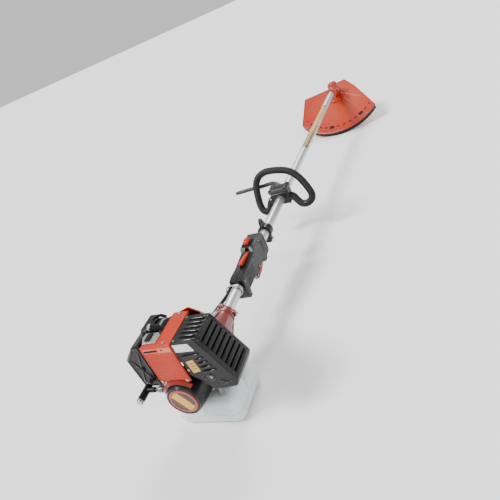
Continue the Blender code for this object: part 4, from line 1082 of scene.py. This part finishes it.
def makeCable():
    line = smoothLine(cable["route"], 10)
    bm = bmesh.new()
    addTube(bm, line, cable["radius"], 16)
    for k in range(4, 84, 2):
        ahead = (line[k + 1] - line[k]).normalized()
        addTurned(bm, [(0.0040, -0.0006), (0.0048, -0.0002), (0.0048, 0.0002), (0.0040, 0.0006)],
                  placed(line[k], ahead), 14)
    finished("cableSleeve", bm, finishes["rubber"], "machine",
             replaces=("throttle_cable",))
    bm = bmesh.new()
    for index, size in ((1, 0.0062), (3, 0.0056), (5, 0.0051)):
        ahead = (line[index + 1] - line[index]).normalized()
        addTurned(bm, [(0.0040, -0.0014), (size, -0.0010), (size, 0.0010), (0.0040, 0.0014)],
                  placed(line[index], ahead), 20)
    addTurned(bm, [(0, 0.004), (0.0060, 0.004), (0.0066, 0.0), (0.0066, -0.006), (0, -0.006)],
              placed(line[-2], (line[-1] - line[-2]).normalized()), 20)
    finished("cableRelief", bm, extras["blackShine"], "machine")
    bm = bmesh.new()
    ring = []
    for k in range(36):
        angle = math.tau * k / 36
        ring.append(Vector((-0.0055 + 0.0222 * math.cos(angle), 0.0300, 0.0012
                            + 0.0175 * math.sin(angle))))
    addTube(bm, ring, 0.0016, 8, closed=True, flat=1.8)
    finished("cableRing", bm, extras["screwSteel"], "machine")
    bm = bmesh.new()
    wire = smoothLine([(-0.0195, -0.0200, -0.004), (-0.0300, -0.0600, -0.006),
                       (-0.0440, -0.1000, 0.0120), (-0.0555, -0.1360, 0.0380),
                       (-0.0590, -0.1700, 0.0560)], 8)
    addTube(bm, [Vector((-0.0165, 0.0460, -0.006)), Vector((-0.0172, 0.0150, -0.006))] + wire,
            0.0013, 8)
    finished("stopWire", bm, finishes["rubber"], "machine")


# Throttle grip: seam, screws, moulded cushions, ridged stop switch, round lock button
grip = {"screws": ((0.0560, 0.0080), (0.0560, -0.0290), (0.1300, -0.0290), (0.2080, 0.0310),
                   (0.2380, -0.0200), (0.1560, -0.0185))}


def makeGripDetails():
    bm = bmesh.new()
    for side in (-1, 1):
        face = side * 0.0195
        for k in range(9):
            y = 0.0740 + 0.0062 * k
            addRib(bm, (face, y, -0.0130), (face, y + 0.004, 0.0140), rightward * side, 0.0030,
                   0.0009)
        addRib(bm, (face, 0.0520, 0.0155), (face, 0.1520, 0.0170), rightward * side, 0.0024, 0.0010)
        addRib(bm, (face, 0.0700, -0.0170), (face, 0.1180, -0.0170), rightward * side, 0.0024,
               0.0010)
        addRib(bm, (face, 0.1760, 0.0345), (face, 0.2380, 0.0345), rightward * side, 0.0022, 0.0009)
        addRib(bm, (face, 0.2440, -0.0100), (face, 0.2440, 0.0250), rightward * side, 0.0022,
               0.0009)
        for y in (0.2140, 0.2210, 0.2280):
            addRib(bm, (face, y, -0.0130), (face, y, 0.0220), rightward * side, 0.0030, 0.0010)
    for y in (0.0560, 0.2460):
        addTurned(bm, [(0.0150, -0.0020), (0.0172, -0.0012), (0.0172, 0.0012), (0.0150, 0.0020)],
                  placed((0, y + (0.006 if y > 0.1 else -0.012), 0), forward), 32)
    finished("gripRibs", bm, extras["blackShine"], "machine")
    bm = bmesh.new()
    for y, z in grip["screws"]:
        addTurned(bm, [(0.0030, 0.0003), (0.0034, 0.0010), (0.0046, 0.0008), (0.0052, -0.0006)],
                  placed((0.0195, y, z), rightward), 20)
        addTurned(bm, [(0, 0.0009), (0.0040, 0.0009), (0.0050, -0.0006)],
                  placed((-0.0195, y, z), -rightward), 6)
    finished("gripBosses", bm, finishes["black_plastic"], "machine")
    bm = bmesh.new()
    for y, z in grip["screws"]:
        addScrew(bm, (0.0193, y, z), rightward, 0.0028, 0.0010)
    finished("gripScrews", bm, extras["screwSteel"], "machine")
    bm = bmesh.new()
    addSlab(bm, [(-0.0145, 0.1760), (0.0050, 0.1760), (0.0060, 0.2110), (-0.0155, 0.2110)],
            0.0386, 0.0396, Matrix.Identity(4))
    addBlock(bm, (0.0030, 0.0300, 0.0036), Matrix.Translation((-0.0160, 0.1930, 0.0402)))
    addBlock(bm, (0.0030, 0.0300, 0.0036), Matrix.Translation((0.0068, 0.1930, 0.0402)))
    finished("switchBezel", bm, extras["pitBlack"], "machine", bevel=0.0006)
    low, high = nodeBox("stop_switch")
    bm = bmesh.new()
    for k in range(5):
        y = low.y + 0.0040 + 0.0040 * k
        addRib(bm, (low.x + 0.0018, y, high.z), (high.x - 0.0018, y, high.z), upward, 0.0026,
               0.0013)
    finished("switchRidges", bm, finishes["orange_plastic"], "switch")
    low, high = nodeBox("lock_button")
    centre = Vector((low.x, (low.y + high.y) / 2, (low.z + high.z) / 2))
    bm = bmesh.new()
    addTurned(bm, [(0.0058, -0.0010), (0.0060, 0.0014), (0.0070, 0.0018), (0.0084, 0.0008),
                   (0.0088, -0.0010)], placed((-0.0195, centre.y, centre.z), -rightward), 28)
    finished("buttonRing", bm, extras["plateSilver"], "machine")
    bm = bmesh.new()
    addTurned(bm, [(0, 0.0004), (0.0026, 0.0004), (0.0032, 0.0010), (0.0042, 0.0008),
                   (0.0046, -0.0004)], placed(centre, -rightward), 24)
    finished("buttonCap", bm, extras["blackShine"], "button")
    bm = bmesh.new()
    lowest = nodeBox("throttle_trigger")[0].z
    for k in range(6):
        y = 0.1560 + 0.0062 * k
        z = lowest + 0.0006 + max(0, k - 1) * 0.0009
        addRib(bm, (-0.0042, y, z), (0.0042, y, z), (0, 0, -1), 0.0022, 0.0008)
    finished("triggerRibs", bm, finishes["orange_plastic"], "trigger")
    bm = bmesh.new()
    for k in range(6):
        y = 0.1070 + 0.0052 * k
        z = 0.0345 - 0.0006 * k
        addRib(bm, (-0.0042, y, z), (0.0042, y, z), upward, 0.0022, 0.0009)
    finished("lockoutRibs", bm, finishes["orange_plastic"], "lockout")


def makeSlingDetails():
    bm = bmesh.new()
    for side in (-1, 1):
        addTurned(bm, [(0.0050, -0.0004), (0.0052, 0.0010), (0.0064, 0.0010), (0.0070, -0.0004)],
                  placed((side * 0.0030, 0.306, 0.035), rightward * side), 28)
    addTurned(bm, [(0.0200, -0.0010), (0.0214, 0), (0.0214, 0.0020), (0.0200, 0.0028)],
              placed((0, 0.3015, 0), forward), 36, math.radians(250), math.radians(-35))
    for side in (-1, 1):
        addBlock(bm, (0.0030, 0.0180, 0.0150), Matrix.Translation((side * 0.0078, 0.313, -0.0275)))
    finished("slingRims", bm, extras["blackShine"], "machine", bevel=0.0005)
    bm = bmesh.new()
    addScrew(bm, (0.0093, 0.313, -0.0285), rightward, 0.0038, 0.0040, 0.0052)
    addTurned(bm, [(0, 0.0034), (0.0036, 0.0034), (0.0042, 0.0028), (0.0042, 0)],
              placed((-0.0093, 0.313, -0.0285), -rightward), 6)
    finished("slingBolt", bm, extras["screwSteel"], "machine")


# Loop handle: one smooth grip with flared roots, its bracket, and the barrier bar
loop = {"station": 0.520, "tilt": math.radians(30), "radius": 0.0115,
        "route": ((0.0313, -0.006), (0.039, -0.006), (0.049, -0.020), (0.063, -0.036),
                  (0.082, -0.039), (0.098, -0.029), (0.101, -0.014), (0.095, 0.004),
                  (0.0845, 0.024), (0.071, 0.045), (0.055, 0.063), (0.036, 0.076),
                  (0.014, 0.084), (-0.015, 0.090), (-0.045, 0.091), (-0.067, 0.082),
                  (-0.080, 0.066), (-0.0845, 0.045), (-0.085, 0.018), (-0.0825, -0.010),
                  (-0.076, -0.028), (-0.065, -0.037), (-0.053, -0.034), (-0.046, -0.020),
                  (-0.039, -0.006), (-0.0313, -0.006))}


def loopPoint(across, up):
    return Vector((across, loop["station"] + up * math.sin(loop["tilt"]),
                   up * math.cos(loop["tilt"])))


def makeLoop():
    line = smoothLine([loopPoint(a, u) for a, u in loop["route"]], 6)

    def size(share):
        near = min(share, 1 - share)
        return loop["radius"] + 0.0016 * max(0, 1 - near / 0.035)

    bm = bmesh.new()
    addTube(bm, line, size, 24)
    finished("loopGrip", bm, finishes["rubber"], "front_handle", 60,
             replaces=("loop_handle",))
    bm = bmesh.new()
    for share in (0.155, 0.845):
        index = int(share * (len(line) - 1))
        ahead = (line[index + 1] - line[index]).normalized()
        addTurned(bm, [(0.0110, -0.0016), (0.0121, -0.0010), (0.0121, 0.0010), (0.0110, 0.0016)],
                  placed(line[index], ahead), 28)
    for side in (-1, 1):
        addTurned(bm, [(0.0118, 0.0090), (0.0134, 0.0080), (0.0140, 0.0), (0.0118, 0.0)],
                  placed(loopPoint(side * 0.0313, -0.006), rightward * side), 28)
    finished("loopCollars", bm, extras["blackShine"], "front_handle")


def makeBracketDetails():
    low, high = nodeBox("bracket_cover")
    bm = bmesh.new()
    for k in range(5):
        x = -0.0130 + 0.0065 * k
        addRib(bm, (x, low.y + 0.0060, high.z), (x, high.y - 0.0060, high.z), upward, 0.0026,
               0.0011)
    for side in (-1, 1):
        for y in (0.505, 0.535):
            addTurned(bm, [(0.0036, 0.0002), (0.0040, 0.0014), (0.0056, 0.0012), (0.0062, -0.0006)],
                      placed((side * 0.026, y, high.z), upward), 24)
    finished("bracketRibs", bm, extras["blackShine"], "front_handle")
    bm = bmesh.new()
    for side in (-1, 1):
        for y in (0.505, 0.535):
            addScrew(bm, (side * 0.026, y, high.z + 0.0002), upward, 0.0034, 0.0018)
            addTurned(bm, [(0, 0.0030), (0.0036, 0.0030), (0.0042, 0.0022), (0.0042, -0.0008)],
                      placed((side * 0.026, y, -0.0210), -upward), 6)
    finished("bracketScrews", bm, extras["screwSteel"], "front_handle")
    bm = bmesh.new()
    for side in (-1, 1):
        addTurned(bm, [(0.0144, 0.0010), (0.0180, 0.0006), (0.0190, -0.0006), (0.0190, -0.0030)],
                  placed((0, 0.520 + side * 0.0200, 0), forward * side), 32)
    for y in (0.505, 0.520, 0.535):
        for side in (-1, 1):
            addRib(bm, (side * 0.0310, y, -0.0150), (side * 0.0310, y, 0.0160), rightward * side,
                   0.0030, 0.0010)
    finished("bracketRims", bm, finishes["black_plastic"], "front_handle")


def makeBarrier():
    line = smoothLine(((-0.014, 0.5403, 0.0298), (-0.014, 0.545, 0.0298),
                       (-0.014, 0.550, 0.0298), (-0.024, 0.561, 0.0325), (-0.038, 0.566, 0.0340),
                       (-0.076, 0.566, 0.0320), (-0.111, 0.566, 0.0320),
                       (-0.175, 0.566, 0.0300)), 8)
    bm = bmesh.new()
    rings = []
    count = len(line)
    for index, point in enumerate(line):
        share = index / (count - 1)
        ahead = (line[min(index + 1, count - 1)] - line[max(index - 1, 0)]).normalized()
        tongue = max(0, 1 - share / 0.58)
        wide = 0.0065 + 0.0120 * tongue ** 1.2
        tall = 0.0065 - 0.0020 * tongue
        if index == count - 1:
            wide *= 0.8
            tall *= 0.8
        side = ahead.cross(upward).normalized()
        up = side.cross(ahead)
        rings.append([bm.verts.new(point + side * wide * math.cos(a) + up * tall * math.sin(a))
                      for a in (math.tau * k / 20 for k in range(20))])
    for first, second in zip(rings, rings[1:]):
        for k in range(20):
            bm.faces.new([first[k], first[(k + 1) % 20], second[(k + 1) % 20], second[k]])
    bm.faces.new(rings[0][::-1])
    bm.faces.new(rings[-1])
    finished("barrierArm", bm, finishes["grey_plastic"], "front_handle", 50,
             replaces=("barrier_bar",))
    bm = bmesh.new()
    for x in (-0.0240, -0.0140, -0.0040):
        addRib(bm, (x, 0.5405, 0.0340), (x - 0.0010, 0.5500, 0.0345), upward, 0.0022, 0.0012)
    for share in (0.64, 0.74, 0.92):
        index = int(share * count)
        ahead = (line[index + 1] - line[index]).normalized()
        addTurned(bm, [(0.0060, -0.0012), (0.0071, -0.0006), (0.0071, 0.0006), (0.0060, 0.0012)],
                  placed(line[index], ahead), 24)
    finished("barrierRibs", bm, extras["blackShine"], "front_handle")


# Printed sleeve on the tube, its dark strip, dot and end band
sleeve = {"yellow": (1.331, 1.033), "tan": (1.033, 0.883), "arc": (33, 190), "strip": (20, 33)}


def addWrap(bm, start, end, first, last, lift, steps=28):
    tube = layout["tubeRadius"]
    rows = []
    for k in range(steps + 1):
        angle = math.radians(first + (last - first) * k / steps)
        row = []
        for radius, y in ((tube - 0.0002, start), (tube + lift, start - 0.0003),
                          (tube + lift, end + 0.0003), (tube - 0.0002, end)):
            row.append(bm.verts.new((radius * math.cos(angle), y, radius * math.sin(angle))))
        rows.append(row)
    for one, other in zip(rows, rows[1:]):
        for k in range(3):
            bm.faces.new([one[k], other[k], other[k + 1], one[k + 1]])


def makeSleeve():
    first, last = sleeve["arc"]
    for name, (start, end), ink in (("sleeveYellow", sleeve["yellow"], "labelYellow"),
                                    ("sleeveTan", sleeve["tan"], "labelTan")):
        bm = bmesh.new()
        addWrap(bm, start, end, first, last, 0.00035)
        finished(name, bm, extras[ink], "machine")
    bm = bmesh.new()
    addWrap(bm, 1.105, 0.883, *sleeve["strip"], 0.00035, 6)
    addWrap(bm, 0.8905, 0.8830, 20, 190, 0.00050)
    addTurned(bm, [(0, 0.0003), (0.0052, 0.0003), (0.0054, -0.0012)],
              placed((0.0090, 1.3200, 0.0108), (0.64, 0, 0.77)), 24)
    finished("sleeveDark", bm, extras["badgeBlack"], "machine")
    bm = bmesh.new()
    for k in range(7):
        y = 1.300 - 0.034 * k
        addWrap(bm, y, y - 0.018, 96, 118, 0.00048, 4)
    for k in range(3):
        y = 1.000 - 0.036 * k
        addWrap(bm, y, y - 0.020, 92, 120, 0.00048, 4)
    finished("sleeveBars", bm, extras["badgeBlack"], "machine")


# Gear head: bolts, grease plug and seams; guard: rolled edge, rim slots drawn as painted shade, bosses and a
# painted highlight on the middle
def onOutput(across, back, down):
    tilt = layout["outputTilt"]
    reach = Vector((0, -math.cos(tilt), -math.sin(tilt)))
    drop = Vector((0, math.sin(tilt), -math.cos(tilt)))
    return Vector((across, layout["outputStation"], 0)) + reach * back + drop * down


def makeHeadDetails():
    axis = (onOutput(0, 0, 0) - onOutput(0, 0, 1)).normalized()
    back = (onOutput(0, 1, 0) - onOutput(0, 0, 0)).normalized()
    bm = bmesh.new()
    addTurned(bm, [(0, 0.0095), (0.0060, 0.0092), (0.0110, 0.0074), (0.0146, 0.0042),
                   (0.0176, 0.0004), (0.0180, -0.0010)], placed(onOutput(0, 0, -0.031), axis,
                                                                back), 36)
    for angle in (45, 135, 225, 315):
        out = Vector((math.cos(math.radians(angle)), 0, 0)) + back * math.sin(math.radians(angle))
        addTube(bm, [onOutput(0, 0, -0.024) + out * 0.0222, onOutput(0, 0, 0.030) + out * 0.0222],
                lambda share: 0.0030 + 0.0012 * share, 12)
    addTurned(bm, [(0.0205, -0.0030), (0.0226, -0.0022), (0.0226, 0.0022), (0.0205, 0.0030)],
              placed((0, 1.522, 0), forward), 36)
    addTurned(bm, [(0.0205, -0.0020), (0.0222, -0.0014), (0.0222, 0.0014), (0.0205, 0.0020)],
              placed((0, 1.546, 0), forward), 36)
    addBlock(bm, (0.0130, 0.0240, 0.0120), Matrix.Translation((0, 1.535, -0.0235)))
    addBlock(bm, (0.0120, 0.0180, 0.0110), Matrix.Translation((0.0215, 1.560, 0.0)))
    finished("headRibs", bm, finishes["orange_paint"], "machine", bevel=0.0007)
    bm = bmesh.new()
    addScrew(bm, onOutput(0, 0.006, -0.0398), axis, 0.0034, 0.0024, 0.0044)
    addScrew(bm, (0.0068, 1.535, -0.0240), rightward, 0.0034, 0.0034, 0.0048)
    addScrew(bm, (0.0272, 1.560, 0.0), rightward, 0.0034, 0.0034, 0.0048)
    addScrew(bm, (0, 1.546, 0.0220), upward, 0.0030, 0.0026, 0.0042)
    for across, rear in ((0.0255, 0.0080), (-0.0255, 0.0080), (0.0150, 0.0450), (-0.0150, 0.0450),
                         (0.0, -0.0280)):
        addScrew(bm, onOutput(across, rear, 0.0363), axis, 0.0036, 0.0034, 0.0054)
    finished("headBolts", bm, extras["screwSteel"], "machine")


guard = {"centre": (0, 0.014), "radius": 0.221, "slotRadius": 0.187, "first": 34,
         "step": 9.33, "slots": 13, "large": (2, 7), "top": 0.0420,
         "front": ((-0.173, -0.031), (-0.052, -0.046), (-0.022, -0.066), (0.008, -0.076),
                   (0.040, -0.082), (0.090, -0.022))}


def guardPaintWithHighlight():
    # painted highlight: the middle is painted paler, standing in for the sheen on the curved shell, and fades to
    # full red at the rim
    def build(wire, place):
        middle = shaftZero + onOutput(0.020, 0.050, 0.042)
        away = wire.node("ShaderNodeVectorMath", {"operation": "DISTANCE"},
                         {0: place, 1: tuple(middle)}, 1)
        pale = away.clamped(0.185, 0.070)
        fine = noise(wire, place, 800, 2.0)
        broad = noise(wire, place, 30, 4.0)
        tone = mixed(wire, broad.clamped(0.3, 0.7), (0.44, 0.024, 0.004), (0.38, 0.018, 0.003))
        # painted highlight: towards the middle of the guard the colour is blended to a paler orange
        tone = mixed(wire, pale * 0.45, tone, (0.50, 0.085, 0.035))
        return {"Base Color": tone, "Roughness": fine * 0.1 + broad * 0.2 + 0.16,
                "Normal": bumped(wire, fine, 0.25, 0.00008)}
    return newFinish("guardNylonWithPaintedHighlight", build, 0.3, coat=0.2)


def makeGuardDetails():
    up = (onOutput(0, 0, 0) - onOutput(0, 0, 1)).normalized()
    back = (onOutput(0, 1, 0) - onOutput(0, 0, 0)).normalized()
    top = guard["top"]
    cx, cb = guard["centre"]
    paint = guardPaintWithHighlight()
    dressed("guard_plate", paint, 0.0008)
    rim = arcPoints(guard["radius"] - 0.0022, 33.6, 146.4, 72, (cx, cb))
    edge = [onOutput(a, b, top - 0.0004) for a, b in rim]
    bm = bmesh.new()
    addTube(bm, edge, 0.0026, 10, flat=0.8)
    frontEdge = [(rim[-1][0], rim[-1][1])] + [(x * 0.985, b + 0.0015) for x, b in guard["front"]]
    frontEdge += [rim[0]]
    for (x0, b0), (x1, b1) in zip(frontEdge, frontEdge[1:]):
        addRib(bm, onOutput(x0, b0, top), onOutput(x1, b1, top), up, 0.0040, 0.0018, taper=0.9)
    inner = arcPoints(guard["radius"] - 0.0135, 36, 144, 60, (cx, cb))
    addTube(bm, [onOutput(a, b, top) for a, b in inner], 0.0010, 8)
    for x, b in ((0.013, 0.030), (0.014, 0.070), (-0.018, 0.081)):
        addTurned(bm, [(0.0022, 0.0), (0.0026, 0.0016), (0.0046, 0.0016), (0.0056, -0.0002)],
                  placed(onOutput(x, b, top), up, back), 20)
    for x0, b0, x1, b1 in ((0.034, 0.038, 0.118, 0.150), (-0.034, 0.038, -0.118, 0.150),
                           (0.0, 0.056, 0.0, 0.196), (0.040, 0.014, 0.124, 0.060),
                           (-0.040, 0.004, -0.158, 0.052)):
        addRib(bm, onOutput(x0, b0, top), onOutput(x1, b1, top), up, 0.0060, 0.0010)
    finished("guardEdges", bm, paint, "machine")
    # painted shade: the rim slots are dark slabs laid on the guard, standing in for the shade inside them
    bm = bmesh.new()
    for k in range(guard["slots"]):
        angle = guard["first"] + guard["step"] * k
        wide = 3.6 if k in guard["large"] else 2.2
        deep = 0.0080 if k in guard["large"] else 0.0032
        if k == guard["slots"] - 1 or k == 0:
            wide = 1.4
        outer = arcPoints(guard["slotRadius"] + deep, angle - wide, angle + wide, 6, (cx, cb))
        innerSide = arcPoints(guard["slotRadius"] - deep, angle + wide, angle - wide, 6, (cx, cb))
        points = [Vector((a, b)) for a, b in outer + innerSide]
        turn = Matrix((rightward, back, up)).transposed().to_4x4()
        turn = Matrix.Translation(onOutput(0, 0, top)) @ turn
        addSlab(bm, points, -0.0010, 0.0004, turn)
    finished("guardSlots", bm, extras["pitBlack"], "machine", bevel=0.0003)
    bm = bmesh.new()
    for k in range(15):
        angle = math.radians(38 + 104 * k / 14)
        x = cx + (guard["radius"] + 0.0001) * math.cos(angle)
        b = cb + (guard["radius"] + 0.0001) * math.sin(angle)
        out = Vector((math.cos(angle), 0, 0)) + back * math.sin(angle)
        addRib(bm, onOutput(x, b, 0.0470), onOutput(x, b, 0.0625), out, 0.0050, 0.0012)
    finished("skirtRibs", bm, finishes["rubber"], "machine")
    bm = bmesh.new()
    for angle in (48, 90, 132):
        x = cx + (guard["radius"] - 0.0080) * math.cos(math.radians(angle))
        b = cb + (guard["radius"] - 0.0080) * math.sin(math.radians(angle))
        addScrew(bm, onOutput(x, b, top), up, 0.0032, 0.0022, 0.0046)
    finished("guardScrews", bm, extras["screwSteel"], "machine")


for build in (makeFanDetails, makeClutchDetails, makeTankDetails, makeCable, makeGripDetails,
              makeSlingDetails, makeLoop, makeBracketDetails, makeBarrier, makeSleeve,
              makeHeadDetails, makeGuardDetails):
    build()
print("shaft, handles and head detailed")
